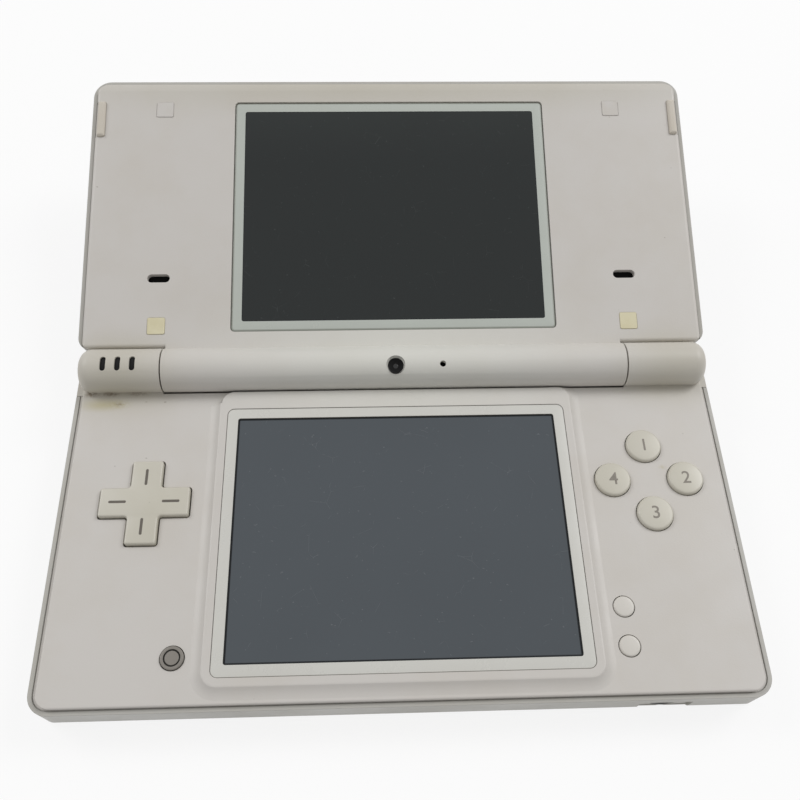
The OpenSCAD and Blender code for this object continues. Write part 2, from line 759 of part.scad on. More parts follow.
module light_slots(gap) {
  y = axis_y - light_shift;
  for (i = [0 : 2]) {
    x = light_x + i * light_pitch;
    slab(x - light_w / 2 - gap, x + light_w / 2 + gap, y - light_l / 2 - gap, y + light_l / 2 + gap,
         axis_z, axis_z + hinge_r + over, light_w / 2 + gap - 0.02);
  }
}

module base_face_plate() {
  hole = 5;
  color([0.86, 0.86, 0.83]) difference() {
    union() {
      difference() {
        union() {
          rounded_slab(-half_w + side_inset, half_w - side_inset, front_y + inset, axis_y, plate_under,
                       plate_z, corner_r - inset, 0, 0, key_plate_edge_r);
          translate([0, 0, plate_under]) linear_extrude(step_z - plate_under)
            round_rect(-half_w + inset, half_w - inset, front_y + inset, axis_y, corner_r - inset, 0);
          bezel();
          trough();
        }
        axis_rod(-knuckle_x, knuckle_x, swing_r);
      }
      for (side = [0, 1]) mirror([side, 0, 0]) {
        knuckle_body();
        knuckle_land();
      }
      for (p = post_places) post(p[0], p[1], post_top, plate_under + 0.2, boss_r);
    }
    axis_rod(knuckle_x - over, bore_end_x, hinge_bore_r);
    axis_rod(-bore_end_x, -knuckle_x + over, hinge_bore_r);
    light_slots(0);
    for (p = post_places) post(p[0], p[1], post_top - over, plate_under - 0.9, pilot_r);
    slab(-touch_w / 2 - fit_gap, touch_w / 2 + fit_gap, screen_y - touch_h / 2 - fit_gap,
         screen_y + touch_h / 2 + fit_gap, touch_z, plate_z + hole, panel_r + fit_gap);
    block(-window_w / 2 - ledge_w, window_w / 2 + ledge_w, screen_y - window_h / 2 - ledge_w,
          screen_y + window_h / 2 + ledge_w, plate_under - over, plate_z + hole);
    translate([dpad_x, dpad_mid_y, 0])
      cross(dpad_l + 2 * dpad_gap, dpad_arm + 2 * dpad_gap, plate_under - over, plate_z + hole,
            dpad_edge + dpad_gap, dpad_fillet - dpad_gap);
    key_places() translate([0, 0, plate_under - over]) cylinder(h = hole, r = key_r + key_gap);
    post(menu_x, select_y, plate_under - over, plate_z + hole, menu_r + key_gap);
    post(menu_x, start_y, plate_under - over, plate_z + hole, menu_r + key_gap);
    post(power_x, power_mid_y, plate_under - over, plate_z + hole, power_r + key_gap);
  }
}

// ---------- lower screen ----------

module touch_panel() {
  color([0.80, 0.81, 0.79])
    slab(-touch_w / 2, touch_w / 2, screen_y - touch_h / 2, screen_y + touch_h / 2, touch_z, touch_top,
         panel_r);
}

module display_module(y, z) {
  slab(-display_w / 2, display_w / 2, y - display_h / 2, y + display_h / 2, z, z + display_t, 0.3);
}

// A sheet tray whose walls stand round a display, up to top.
module display_tray(y, display_z, top) {
  x1 = display_w / 2 + touch_gap;
  y1 = display_h / 2 + touch_gap;
  difference() {
    block(-x1 - tray_t, x1 + tray_t, y - y1 - tray_t, y + y1 + tray_t,
          display_z - touch_gap - tray_t, top);
    block(-x1, x1, y - y1, y + y1, display_z - touch_gap, top + over);
  }
}

module lower_display() {
  color([0.16, 0.18, 0.20]) display_module(screen_y, lower_display_z);
}

module lower_display_tray() {
  color([0.70, 0.71, 0.72]) display_tray(screen_y, lower_display_z, plate_under);
}

// ---------- inside the base ----------

module main_board() {
  color([0.12, 0.36, 0.24]) {
    difference() {
      slab(-half_w + board_inset, half_w - board_inset, bay_y, board_rear_y, board_z, board_top, 1);
      block(-game_w / 2 - socket_notch, game_w / 2 + socket_notch, game_y - over, board_rear_y + over,
            board_z - over, board_top + over);
      for (p = post_places) post(p[0], p[1], board_z - over, board_top + over, post_notch_r);
    }
    block(-half_w + volume_in + volume_travel + 0.05, -half_w + board_inset + 0.6,
          volume_mid_y - volume_pitch / 2 - volume_l / 2, volume_mid_y + volume_pitch / 2 + volume_l / 2,
          volume_z - volume_h / 2, board_z + 0.1);
    post(power_x, power_mid_y, board_top - 0.1, membrane_top, power_r - 0.6);
  }
}

module wireless_board() {
  color([0.15, 0.32, 0.45]) {
    block(wireless_x - wireless_w / 2, wireless_x + wireless_w / 2, wireless_y - wireless_d / 2,
          wireless_y + wireless_d / 2, wireless_z, wireless_z + wireless_t);
    block(wireless_x - wireless_w / 2 + 2, wireless_x + wireless_w / 2 - 4,
          wireless_y - wireless_d / 2 + 3, wireless_y + wireless_d / 2 - 3,
          wireless_z - wireless_chip_t, wireless_z + 0.05);
    block(wireless_x - wireless_w / 2 + 1, wireless_x - wireless_w / 2 + 1 + plug_strip_w,
          wireless_y - wireless_d / 4, wireless_y + wireless_d / 4, wireless_z + wireless_t - 0.05,
          board_z);
  }
}

module battery() {
  color([0.78, 0.76, 0.70]) difference() {
    rounded_slab(bay_x - battery_w / 2, bay_x + battery_w / 2, battery_y, battery_y + battery_d,
                 battery_z, battery_top, 1, 1, 0.8, 0.8);
    cover_boss_places() cylinder(h = board_z, r = cover_boss_r + fit_gap);
  }
}

module battery_cover() {
  color([0.83, 0.83, 0.80]) difference() {
    slab(bay_x - cover_w / 2, bay_x + cover_w / 2, bay_y, bay_y + cover_d, 0, cover_t, 2);
    cover_boss_places() {
      translate([0, 0, -over]) cylinder(h = cover_head_t + 0.05 + over, r = head_hole_r);
      translate([0, 0, -over]) cylinder(h = cover_t + 2 * over, r = screw_hole_r);
    }
  }
}

module battery_cover_screws() {
  color([0.62, 0.62, 0.64]) for (x = [bay_x - cover_screw_x, bay_x + cover_screw_x])
    screw_up(x, cover_screw_y, 0.05, cover_head_t + 0.05, cover_pilot_top - 0.1, screw_head_r);
}

module base_screws() {
  color([0.62, 0.62, 0.64]) for (p = post_places)
    screw_up(p[0], p[1], head_z, head_z + head_t, plate_under - 1, screw_head_r);
}

module screw_covers() {
  color([0.75, 0.75, 0.72]) for (p = post_places)
    post(p[0], p[1], plug_sink, plug_sink + plug_t, plug_r);
}

module membrane_dome(x, y) {
  post(x, y, membrane_z, membrane_top, dome_r);
}

module direction_pad_membrane() {
  color([0.55, 0.56, 0.58]) {
    post(dpad_x, dpad_mid_y, membrane_z, membrane_z + sheet_t, dpad_flange_r);
    for (turn = [0 : 90 : 270])
      membrane_dome(dpad_x + dpad_dome_out * cos(turn), dpad_mid_y + dpad_dome_out * sin(turn));
  }
}

module key_membrane() {
  half = key_pitch + key_r + sheet_margin;
  color([0.55, 0.56, 0.58]) {
    slab(keys_x - half, keys_x + half, keys_mid_y - half, keys_mid_y + half,
         membrane_z, membrane_z + sheet_t, key_r);
    key_places() translate([0, 0, membrane_z]) cylinder(h = sheet_t + dome_t, r = key_dome_r);
  }
}

module menu_membrane() {
  half = menu_r + menu_sheet_margin;
  color([0.55, 0.56, 0.58]) {
    slab(menu_x - half, menu_x + half, select_y - half, start_y + half, membrane_z,
         membrane_z + sheet_t, menu_sheet_margin);
    for (y = [select_y, start_y]) membrane_dome(menu_x, y);
  }
}

// ---------- keys on the face ----------

module direction_pad() {
  top = plate_z + key_rise;
  color([0.88, 0.87, 0.82]) translate([dpad_x, dpad_mid_y, 0]) {
    difference() {
      cross(dpad_l, dpad_arm, dpad_flange_z, top, dpad_edge, dpad_fillet);
      for (turn = [0 : 90 : 270]) rotate([0, 0, turn])
        slab(mark_out - mark_l / 2, mark_out + mark_l / 2, -mark_w / 2, mark_w / 2,
             top - mark_depth, top + over, mark_w / 2 - 0.02);
    }
    translate([0, 0, dpad_flange_z]) cylinder(h = flange_t, r = dpad_flange_r);
  }
}

module face_key(turn) {
  round_key(keys_x + key_pitch * cos(turn), keys_mid_y + key_pitch * sin(turn), key_r,
            key_foot_z, plate_z + key_rise);
}

module key_top() {
  color([0.88, 0.87, 0.82]) face_key(90);
}

module key_left() {
  color([0.88, 0.87, 0.82]) face_key(180);
}

module key_right() {
  color([0.88, 0.87, 0.82]) face_key(0);
}

module key_bottom() {
  color([0.88, 0.87, 0.82]) face_key(270);
}

module start_key() {
  color([0.88, 0.87, 0.82]) round_key(menu_x, start_y, menu_r, menu_foot_z, plate_z + menu_rise);
}

module select_key() {
  color([0.88, 0.87, 0.82]) round_key(menu_x, select_y, menu_r, menu_foot_z, plate_z + menu_rise);
}

module power_key() {
  color([0.55, 0.56, 0.55]) round_key(power_x, power_mid_y, power_r, menu_foot_z, plate_z + menu_rise);
}

// ---------- controls and ports on the edges ----------

module shoulder_key() {
  color([0.80, 0.80, 0.77]) difference() {
    intersection() {
      base_outer();
      union() {
        block(knuckle_x + 0.5, half_w + over, rear_y - shoulder_t, rear_y + over,
              shoulder_z, shoulder_z + shoulder_h);
        block(half_w - shoulder_t, half_w + over, shoulder_front_y, rear_y + over,
              shoulder_z, shoulder_z + shoulder_h);
        post(shoulder_pin_x, shoulder_pin_y, shoulder_z, shoulder_z + shoulder_h, shoulder_lug_r);
      }
    }
    post(shoulder_pin_x, shoulder_pin_y, 0, plate_z, shoulder_pin_r + run_gap);
  }
}

module right_shoulder_key() {
  shoulder_key();
}

module left_shoulder_key() {
  mirror([1, 0, 0]) shoulder_key();
}

module volume_key(y) {
  color([0.80, 0.80, 0.77]) {
    rounded_slab(-half_w, -half_w + volume_in, y - volume_l / 2, y + volume_l / 2,
                 volume_z - volume_h / 2, volume_z + volume_h / 2, 0.3, 0.3, 0.3, 0.3);
    block(-half_w + wall_t + 0.1, -half_w + wall_t + 0.1 + volume_flange, y - volume_l / 2 - 0.6,
          y + volume_l / 2 + 0.6, volume_z - volume_h / 2 - 0.5, volume_z + volume_h / 2 + 0.4);
  }
}

module volume_up_key() {
  volume_key(volume_mid_y + volume_pitch / 2);
}

module volume_down_key() {
  volume_key(volume_mid_y - volume_pitch / 2);
}

module memory_card_cover() {
  color([0.83, 0.83, 0.80]) intersection() {
    base_outer();
    block(half_w - sd_cover_t, half_w + over, sd_cover_y0, sd_cover_y1, sd_cover_z0, sd_cover_z1);
  }
}

module memory_card_socket() {
  x1 = half_w - wall_t - 0.15;
  y0 = sd_mid_y - sd_w / 2;
  y1 = sd_mid_y + sd_w / 2;
  color([0.70, 0.71, 0.72]) difference() {
    block(x1 - sd_depth, x1, y0 - socket_wall, y1 + socket_wall, sd_z, sd_z + sd_t + 2 * socket_wall);
    block(x1 - sd_depth + over, x1 + over, y0, y1, sd_z + socket_wall, sd_z + socket_wall + sd_t);
  }
}

module game_card_socket() {
  y1 = rear_y - wall_t - fit_gap;
  color([0.20, 0.20, 0.21]) difference() {
    block(-game_w / 2 - socket_wall, game_w / 2 + socket_wall, game_y - socket_wall, y1,
          floor_t, floor_t + game_t + socket_wall);
    block(-game_w / 2, game_w / 2, game_y, y1 + over, 0, floor_t + game_t);
  }
}

module headphone_jack() {
  y0 = front_y + wall_t + fit_gap;
  nose_y = front_y + jack_recess_d + 0.05;
  color([0.13, 0.13, 0.14]) difference() {
    union() {
      block(jack_x - jack_side, jack_x + jack_side, y0, y0 + jack_l, jack_z - jack_half,
            jack_z + jack_half);
      translate([jack_x, nose_y, jack_z]) rotate([-90, 0, 0])
        cylinder(h = y0 - nose_y + 0.1, r = jack_nose_r);
    }
    translate([jack_x, nose_y - over, jack_z]) rotate([-90, 0, 0])
      cylinder(h = y0 - nose_y + jack_l, r = jack_bore_r);
  }
}

module charging_socket() {
  y1 = rear_y - 0.4;
  shell = 0.5;
  color([0.30, 0.30, 0.31]) {
    difference() {
      block(charge_x - charge_w / 2, charge_x + charge_w / 2, y1 - charge_l, y1, charge_z,
            charge_z + charge_h);
      block(charge_x - charge_w / 2 + shell, charge_x + charge_w / 2 - shell, y1 - charge_l + 2,
            y1 + over, charge_z + shell, charge_z + charge_h - shell);
    }
    block(charge_x - charge_w / 4, charge_x + charge_w / 4, y1 - charge_l, y1 - charge_l + 4,
          floor_t, charge_z + 0.1);
    block(charge_x - charge_w / 4, charge_x + charge_w / 4, y1 - charge_l + 1.5, y1 - 1.5,
          charge_z + charge_h / 2 - 0.3, charge_z + charge_h / 2 + 0.3);
  }
}

module stylus() {
  tip = 5;
  nib_r = 0.7;
  x0 = half_w - stylus_l;
  color([0.80, 0.80, 0.77]) translate([x0, stylus_mid_y, stylus_z]) rotate([0, 90, 0]) {
    translate([0, 0, tip]) cylinder(h = stylus_l - tip - 0.3, r = stylus_r);
    translate([0, 0, 0.6]) cylinder(h = tip - 0.6, r1 = nib_r, r2 = stylus_r);
    cylinder(h = 0.7, r = nib_r - 0.05);
  }
}

module status_lights() {
  color([0.45, 0.46, 0.44]) difference() {
    intersection() {
      light_slots(-0.04);
      axis_rod(-half_w, -knuckle_x, hinge_r - light_sink);
    }
    axis_rod(-half_w - over, -knuckle_x + over, hinge_bore_r + touch_gap);
  }
}

// ---------- hinge ----------

module hinge_sleeve() {
  color([0.35, 0.35, 0.36]) difference() {
    axis_rod(-bore_end_x + touch_gap, -barrel_x + sleeve_reach, hinge_bore_r - run_gap);
    axis_rod(-half_w, -barrel_x + sleeve_reach + over, sleeve_in_r);
  }
}

module hinge_pin() {
  color([0.60, 0.60, 0.62]) {
    axis_rod(barrel_x - clutch_l + 1, knuckle_x + 0.1, shaft_r);
    axis_rod(knuckle_x, bore_end_x - touch_gap, hinge_bore_r - run_gap);
  }
}

module hinge_clutch() {
  color([0.70, 0.70, 0.72]) on_lid() difference() {
    rod(barrel_x - clutch_l, barrel_x - touch_gap, 0, 0, hinge_bore_r - 0.02);
    rod(barrel_x - clutch_l - over, barrel_x + over, 0, 0, shaft_r + run_gap);
  }
}

module display_cable() {
  color([0.75, 0.50, 0.20]) on_lid() rod(-half_w + 4, -barrel_x + 12, 0, 0, cable_r);
}

// ---------- lid ----------

module lid_outer_shell() {
  color([0.83, 0.83, 0.80]) on_lid() difference() {
    union() {
      difference() {
        rounded_slab(-half_w, half_w, lid_start, lid_end, back_n, lid_rim_n, hinge_corner_r, corner_r,
                     edge_r, 0);
        rounded_slab(-half_w + wall_t, half_w - wall_t, lid_start + wall_t, lid_end - wall_t,
                     lid_inner_back, lid_rim_n + over, hinge_corner_r - wall_t + 0.2,
                     corner_r - wall_t, edge_r - wall_t, 0);
      }
      for (p = pad_places) post(p[0], p[1], lid_inner_back - 0.1, lid_post_n - touch_gap, lid_post_r);
    }
    slab(-half_w + rim_w, half_w - rim_w, lid_start - 2 * corner_r, lid_end - rim_w, face_under,
         lid_rim_n + over, corner_r - rim_w);
    block(-barrel_x - 0.1, barrel_x + 0.1, lid_start - over, lid_start + wall_t + 0.1,
          bridge_n - 0.1, lid_rim_n + over);
    for (p = pad_places) post(p[0], p[1], lid_inner_back, lid_rim_n, pilot_r);
    post(outer_camera_x, outer_camera_s, back_n - over, lid_inner_back + over,
         outer_camera_r + touch_gap);
  }
}

module stadium_slot(x, y, l, w, z0, z1) {
  slab(x - l / 2, x + l / 2, y - w / 2, y + w / 2, z0, z1, w / 2 - 0.02);
}

// What lies under the rolled far edge of the lid's plate, along its whole width.
module under_roll() {
  translate([-half_w, 0, 0]) rotate([90, 0, 90]) linear_extrude(console_w) {
    translate([0, face_n - 2 * roll_r]) square([roll_s, 2 * roll_r + over]);
    translate([roll_s, face_n + roll_lift - roll_r]) circle(roll_r, $fn = 96);
  }
}

module lid_inner_shell() {
  color([0.86, 0.86, 0.83]) on_lid() difference() {
    union() {
      intersection() {
        rounded_slab(-half_w + inset, half_w - inset, lid_start + touch_gap, lid_end - inset,
                     face_under, face_n, hinge_corner_r - inset, corner_r - inset, 0, plate_edge_r);
        under_roll();
      }
      rod(-barrel_x, barrel_x, 0, 0, hinge_r);
      block(-barrel_x, barrel_x, 0, lid_start + wall_t, bridge_n, face_n);
      for (p = pad_places) post(p[0], p[1], lid_post_n, face_under + 0.1, boss_r);
    }
    rod(-barrel_x - over, barrel_x + over, 0, 0, hinge_bore_r);
    slab(-pane_w / 2 - fit_gap, pane_w / 2 + fit_gap, pane_s - pane_h / 2 - fit_gap,
         pane_s + pane_h / 2 + fit_gap, pane_n, face_n + over, 1);
    block(-window_w / 2 - ledge_w, window_w / 2 + ledge_w, pane_s - window_h / 2 - ledge_w,
          pane_s + window_h / 2 + ledge_w, face_under - over, face_n);
    for (x = [-speaker_x, speaker_x])
      stadium_slot(x, speaker_s, slot_l, slot_w, face_under - over, face_n + over);
    for (p = pad_places) {
      slab(p[0] - pad_side / 2 - touch_gap, p[0] + pad_side / 2 + touch_gap,
           p[1] - pad_side / 2 - touch_gap, p[1] + pad_side / 2 + touch_gap, pad_n, face_n + over,
           pad_corner_r);
      post(p[0], p[1], lid_head_n - lid_head_t, face_n, head_hole_r);
      post(p[0], p[1], lid_post_n - over, face_n, screw_hole_r);
    }
    for (side = [0, 1]) mirror([side, 0, 0])
      slab(bumper_x - bumper_w / 2 - touch_gap, half_w, bumper_s - bumper_l / 2 - touch_gap,
           bumper_s + bumper_l / 2 + touch_gap, bumper_n, face_n + over, 0.5);
    post(0, -camera_shift, 0, hinge_r + over, camera_r);
    post(mic_x, -camera_shift, 0, hinge_r + over, mic_r);
  }
}

module upper_window_pane() {
  color([0.74, 0.76, 0.73]) on_lid()
    slab(-pane_w / 2, pane_w / 2, pane_s - pane_h / 2, pane_s + pane_h / 2, pane_n, pane_n + pane_t,
         1 - fit_gap);
}

module upper_display() {
  color([0.16, 0.18, 0.20]) on_lid() display_module(pane_s, upper_display_n);
}

module upper_display_tray() {
  color([0.70, 0.71, 0.72]) on_lid() display_tray(pane_s, upper_display_n, face_under);
}

module speaker(x) {
  color([0.15, 0.15, 0.16]) on_lid() {
    rounded_slab(x - speaker_w / 2, x + speaker_w / 2, speaker_s - speaker_h / 2,
                 speaker_s + speaker_h / 2, face_under - touch_gap - speaker_t,
                 face_under - touch_gap, 2, 2, 0.4, 0);
  }
}

module left_speaker() {
  speaker(-speaker_x);
}

module right_speaker() {
  speaker(speaker_x);
}

module inner_camera() {
  color([0.14, 0.14, 0.15]) on_lid() post(0, -camera_shift, -2, 2, 1.9);
}

module inner_camera_window() {
  color([0.05, 0.05, 0.06]) on_lid()
    post(0, -camera_shift, hinge_bore_r - 0.7, hinge_r - 1.1, camera_r - touch_gap);
}

module outer_camera() {
  color([0.14, 0.14, 0.15]) on_lid()
    block(outer_camera_x - camera_box / 2, outer_camera_x + camera_box / 2,
          outer_camera_s - camera_box / 2, outer_camera_s + camera_box / 2,
          lid_inner_back + touch_gap, face_under - 0.2);
}

module outer_camera_window() {
  color([0.05, 0.05, 0.06]) on_lid()
    post(outer_camera_x, outer_camera_s, back_n + touch_gap, lid_inner_back, outer_camera_r);
}

module microphone() {
  color([0.70, 0.71, 0.72]) on_lid() post(mic_x, -camera_shift, 0.9, 2.5, 1.3);
}

module lid_pads() {
  color([0.83, 0.82, 0.70]) on_lid() for (p = pad_places)
    rounded_slab(p[0] - pad_side / 2, p[0] + pad_side / 2, p[1] - pad_side / 2, p[1] + pad_side / 2,
                 pad_n, face_n + pad_rise, pad_corner_r - touch_gap, pad_corner_r - touch_gap, 0,
                 pad_rise);
}

module side_bumpers() {
  color([0.85, 0.82, 0.76]) on_lid() for (x = [-bumper_x, bumper_x])
    rounded_slab(x - bumper_w / 2, x + bumper_w / 2, bumper_s - bumper_l / 2, bumper_s + bumper_l / 2,
                 bumper_n, face_n + bumper_rise, 0.5, 0.5, 0, 0.6);
}

module lid_screws() {
  color([0.62, 0.62, 0.64]) on_lid() for (p = pad_places) {
    post(p[0], p[1], lid_head_n - lid_head_t, lid_head_n, screw_head_r);
    post(p[0], p[1], lid_inner_back + 0.2, lid_head_n - lid_head_t + 0.01, screw_r);
  }
}

base_lower_shell();
base_face_plate();
touch_panel();
lower_display();
lower_display_tray();
main_board();
wireless_board();
battery();
battery_cover();
battery_cover_screws();
base_screws();
screw_covers();
direction_pad();
direction_pad_membrane();
key_top();
key_left();
key_right();
key_bottom();
key_membrane();
start_key();
select_key();
menu_membrane();
power_key();
left_shoulder_key();
right_shoulder_key();
volume_up_key();
volume_down_key();
memory_card_cover();
memory_card_socket();
game_card_socket();
headphone_jack();
charging_socket();
stylus();
status_lights();
hinge_sleeve();
hinge_pin();
lid_outer_shell();
lid_inner_shell();
upper_window_pane();
upper_display();
upper_display_tray();
left_speaker();
right_speaker();
inner_camera();
inner_camera_window();
outer_camera();
outer_camera_window();
microphone();
lid_pads();
side_bumpers();
lid_screws();
hinge_clutch();
display_cable();
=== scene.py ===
"""Looks of a clamshell handheld game console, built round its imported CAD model."""

import json
import logging
import math
from dataclasses import dataclass, field
from enum import Enum
from typing import Any, Callable, Iterable, Optional

import bmesh
import bpy
from mathutils import Matrix, Vector


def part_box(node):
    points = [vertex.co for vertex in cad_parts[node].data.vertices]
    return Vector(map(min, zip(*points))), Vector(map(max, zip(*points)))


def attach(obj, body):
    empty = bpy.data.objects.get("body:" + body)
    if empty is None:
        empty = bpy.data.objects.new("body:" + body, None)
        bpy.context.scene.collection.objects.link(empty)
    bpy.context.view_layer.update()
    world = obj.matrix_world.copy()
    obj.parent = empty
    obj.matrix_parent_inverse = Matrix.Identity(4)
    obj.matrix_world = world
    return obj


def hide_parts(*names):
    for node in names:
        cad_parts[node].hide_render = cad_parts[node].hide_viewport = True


LOG = logging.getLogger("console")
# Lengths are in metres, apart from the camera's lens and sensor, which are in millimetres.
MM = 0.001

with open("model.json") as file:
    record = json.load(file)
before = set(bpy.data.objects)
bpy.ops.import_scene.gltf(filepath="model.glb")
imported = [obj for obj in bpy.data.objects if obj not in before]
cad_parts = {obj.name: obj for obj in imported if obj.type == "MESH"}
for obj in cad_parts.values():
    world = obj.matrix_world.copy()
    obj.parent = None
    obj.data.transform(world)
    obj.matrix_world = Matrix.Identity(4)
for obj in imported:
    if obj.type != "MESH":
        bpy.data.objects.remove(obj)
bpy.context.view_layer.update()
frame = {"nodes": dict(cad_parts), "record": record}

Colour = tuple[float, float, float]
Place = tuple[float, float, float]
Profile = list[tuple[float, float]]


class Body(Enum):
    """The bodies that pieces ride on, apart from the keys' own."""

    BASE = "base"
    LID = "lid"


def srgb(red: int, green: int, blue: int) -> Colour:
    """Turns a colour seen on screen into the linear values that shaders use.

    Args:
        red: Red, from 0 to 255.
        green: Green, from 0 to 255.
        blue: Blue, from 0 to 255.

    Returns:
        The three linear values.
    """

    def linear(level: int) -> float:
        """Turns one level linear."""
        share = level / 255
        return share / 12.92 if share <= 0.04045 else ((share + 0.055) / 1.055) ** 2.4

    return linear(red), linear(green), linear(blue)


class Value:
    """A shader socket that takes part in Python arithmetic."""

    def __init__(self, graph: "Graph", socket: bpy.types.NodeSocket) -> None:
        """Keeps the graph and the socket that the value comes from."""
        self.graph = graph
        self.socket = socket

    def __add__(self, other: Any) -> "Value":
        """Adds."""
        return self.graph.maths("ADD", self, other)

    def __sub__(self, other: Any) -> "Value":
        """Subtracts."""
        return self.graph.maths("SUBTRACT", self, other)

    def __rsub__(self, other: Any) -> "Value":
        """Subtracts this value from another."""
        return self.graph.maths("SUBTRACT", other, self)

    def __mul__(self, other: Any) -> "Value":
        """Multiplies."""
        return self.graph.maths("MULTIPLY", self, other)

    def above(self, level: Any) -> "Value":
        """Is 1 where this value is above a level, and 0 elsewhere."""
        return self.graph.maths("GREATER_THAN", self, level)

    def smooth(self, low: float, high: float) -> "Value":
        """Rises smoothly from 0 at low to 1 at high.

        Args:
            low: The value that gives 0.
            high: The value that gives 1.

        Returns:
            The eased value.
        """
        settings = {"interpolation_type": "SMOOTHSTEP"}
        sockets = {"Value": self, "From Min": low, "From Max": high, "To Min": 0.0, "To Max": 1.0}
        return self.graph.node("ShaderNodeMapRange", settings, sockets, "Result")


class Graph:
    """A material's node tree, written as expressions."""

    # The Mix node's sockets for colours: the share, the first and the second colour.
    MIX_INPUTS = (0, 6, 7)
    MIX_OUTPUT = 2
    BEVEL_SAMPLES = 6

    def __init__(self, name: str) -> None:
        """Starts an empty material with one surface output."""
        self.material = bpy.data.materials.new(name)
        self.material.use_nodes = True
        self.tree = self.material.node_tree
        self.tree.nodes.clear()
        self.output = self.tree.nodes.new("ShaderNodeOutputMaterial")

    def node(
        self, kind: str, settings: dict[str, Any], sockets: dict[Any, Any], out: Any = 0
    ) -> Value:
        """Adds any node.

        Args:
            kind: The node's type.
            settings: Attributes that are set first.
            sockets: Numbers, colours or values for the inputs, by name or index.
            out: Name or index of the output that is wanted.

        Returns:
            The output as a value.
        """
        made = self.tree.nodes.new(kind)
        for key, setting in settings.items():
            setattr(made, key, setting)
        for key, given in sockets.items():
            self.feed(made.inputs[key], given)
        return Value(self, made.outputs[out])

    def feed(self, socket: bpy.types.NodeSocket, given: Any) -> None:
        """Links a value to a socket, or writes a plain number or colour on it."""
        if isinstance(given, Value):
            self.tree.links.new(given.socket, socket)
        elif isinstance(given, tuple) and socket.type == "RGBA":
            socket.default_value = (*given, 1.0)
        else:
            socket.default_value = given

    def maths(self, operation: str, *given: Any) -> Value:
        """Adds a Math node on values and numbers."""
        return self.node("ShaderNodeMath", {"operation": operation}, dict(enumerate(given)))

    def vector(self, operation: str, first: Any, second: Any, out: str = "Vector") -> Value:
        """Adds a Vector Math node."""
        settings = {"operation": operation}
        return self.node("ShaderNodeVectorMath", settings, {0: first, 1: second}, out)

    def place(self) -> Value:
        """Gives the point on the piece, in metres."""
        return self.node("ShaderNodeTexCoord", {}, {}, "Object")

    def axis(self, name: str) -> Value:
        """Gives one coordinate of the point on the piece."""
        return self.node("ShaderNodeSeparateXYZ", {}, {0: self.place()}, name)

    def noise(self, size: float, detail: float = 2.0, rough: float = 0.5) -> Value:
        """Gives noise whose blotches are about size across.

        Args:
            size: Size of a blotch, in metres.
            detail: Octaves.
            rough: Weight of the finer octaves.

        Returns:
            The noise, around 0.5.
        """
        sockets = {
            "Vector": self.place(), "Scale": 1 / size, "Detail": detail, "Roughness": rough
        }
        return self.node("ShaderNodeTexNoise", {}, sockets, "Fac")

    def near(self, middle: Place, reach: Place) -> Value:
        """Falls smoothly from 1 at a point to 0 at a distance from it.

        Args:
            middle: The point, in metres.
            reach: The distance along each axis, in metres.

        Returns:
            The closeness.
        """
        away = self.vector("DIVIDE", self.vector("SUBTRACT", self.place(), middle), reach)
        return 1 - self.vector("LENGTH", away, (0.0, 0.0, 0.0), "Value").smooth(0.0, 1.0)

    def worn_edges(self, radius: float) -> Value:
        """Gives a normal that rounds sharp edges off by a small radius."""
        settings = {"samples": self.BEVEL_SAMPLES}
        return self.node("ShaderNodeBevel", settings, {"Radius": radius}, "Normal")

    def mix(self, share: Any, first: Any, second: Any) -> Value:
        """Mixes two colours by a share of the second."""
        made = self.tree.nodes.new("ShaderNodeMix")
        made.data_type = "RGBA"
        for index, given in zip(self.MIX_INPUTS, (share, first, second)):
            self.feed(made.inputs[index], given)
        return Value(self, made.outputs[self.MIX_OUTPUT])

    def bump(self, height: Value, distance: float, under: Optional[Value] = None) -> Value:
        """Turns a height from 0 to 1 into a normal.

        Args:
            height: The height pattern.
            distance: What a height of 1 measures, in metres.
            under: The normal that the bump lies on, if not the piece's own.

        Returns:
            The normal.
        """
        sockets = {"Height": height, "Distance": distance}
        if under is not None:
            sockets["Normal"] = under
        return self.node("ShaderNodeBump", {}, sockets, "Normal")

    def surface(self, **sockets: Any) -> None:
        """Ends the graph in one principled shader, whose sockets are named with underscores."""
        named = {key.replace("_", " "): given for key, given in sockets.items()}
        shader = self.node("ShaderNodeBsdfPrincipled", {}, named, "BSDF")
        self.feed(self.output.inputs["Surface"], shader)

    def shown_white(self, shader: Value, share: float) -> None:
        """Ends the graph in a shader that is partly plain white where it is seen or mirrored.

        Args:
            shader: The shader that lies under the white.
            share: The share of white.
        """
        white = self.node("ShaderNodeEmission", {}, {"Strength": 1.0}, "Emission")
        rays = [self.node("ShaderNodeLightPath", {}, {}, f"Is {ray} Ray")
                for ray in ("Camera", "Glossy", "Transmission")]
        seen = (rays[0] + rays[1] + rays[2]) * share
        mixed = self.node("ShaderNodeMixShader", {}, {0: seen, 1: shader, 2: white}, "Shader")
        self.feed(self.output.inputs["Surface"], mixed)


@dataclass(frozen=True)
class StainAndLightPatch:
    """A soft patch of colour at one place, used for smudges and for painted light and shade."""

    middle: Place
    reach: Place
    colour: Colour
    strength: float = 0.5
    ragged: bool = True
    tear: float = 0.6

    def over(self, graph: Graph, tone: Value) -> Value:
        """Lays the patch over a colour.

        Args:
            graph: The material's graph.
            tone: The colour under it.

        Returns:
            The colour with the patch laid over it.
        """
        share = graph.near(self.middle, self.reach) * self.strength
        if self.ragged:
            tears = graph.noise(min(self.reach) * self.tear, 4.0, 0.65)
            share = share * tears.smooth(0.34, 0.6)
        return graph.mix(share, tone, self.colour)


SPECK_TONE = srgb(120, 112, 98)
DUST_TONE = srgb(120, 122, 124)


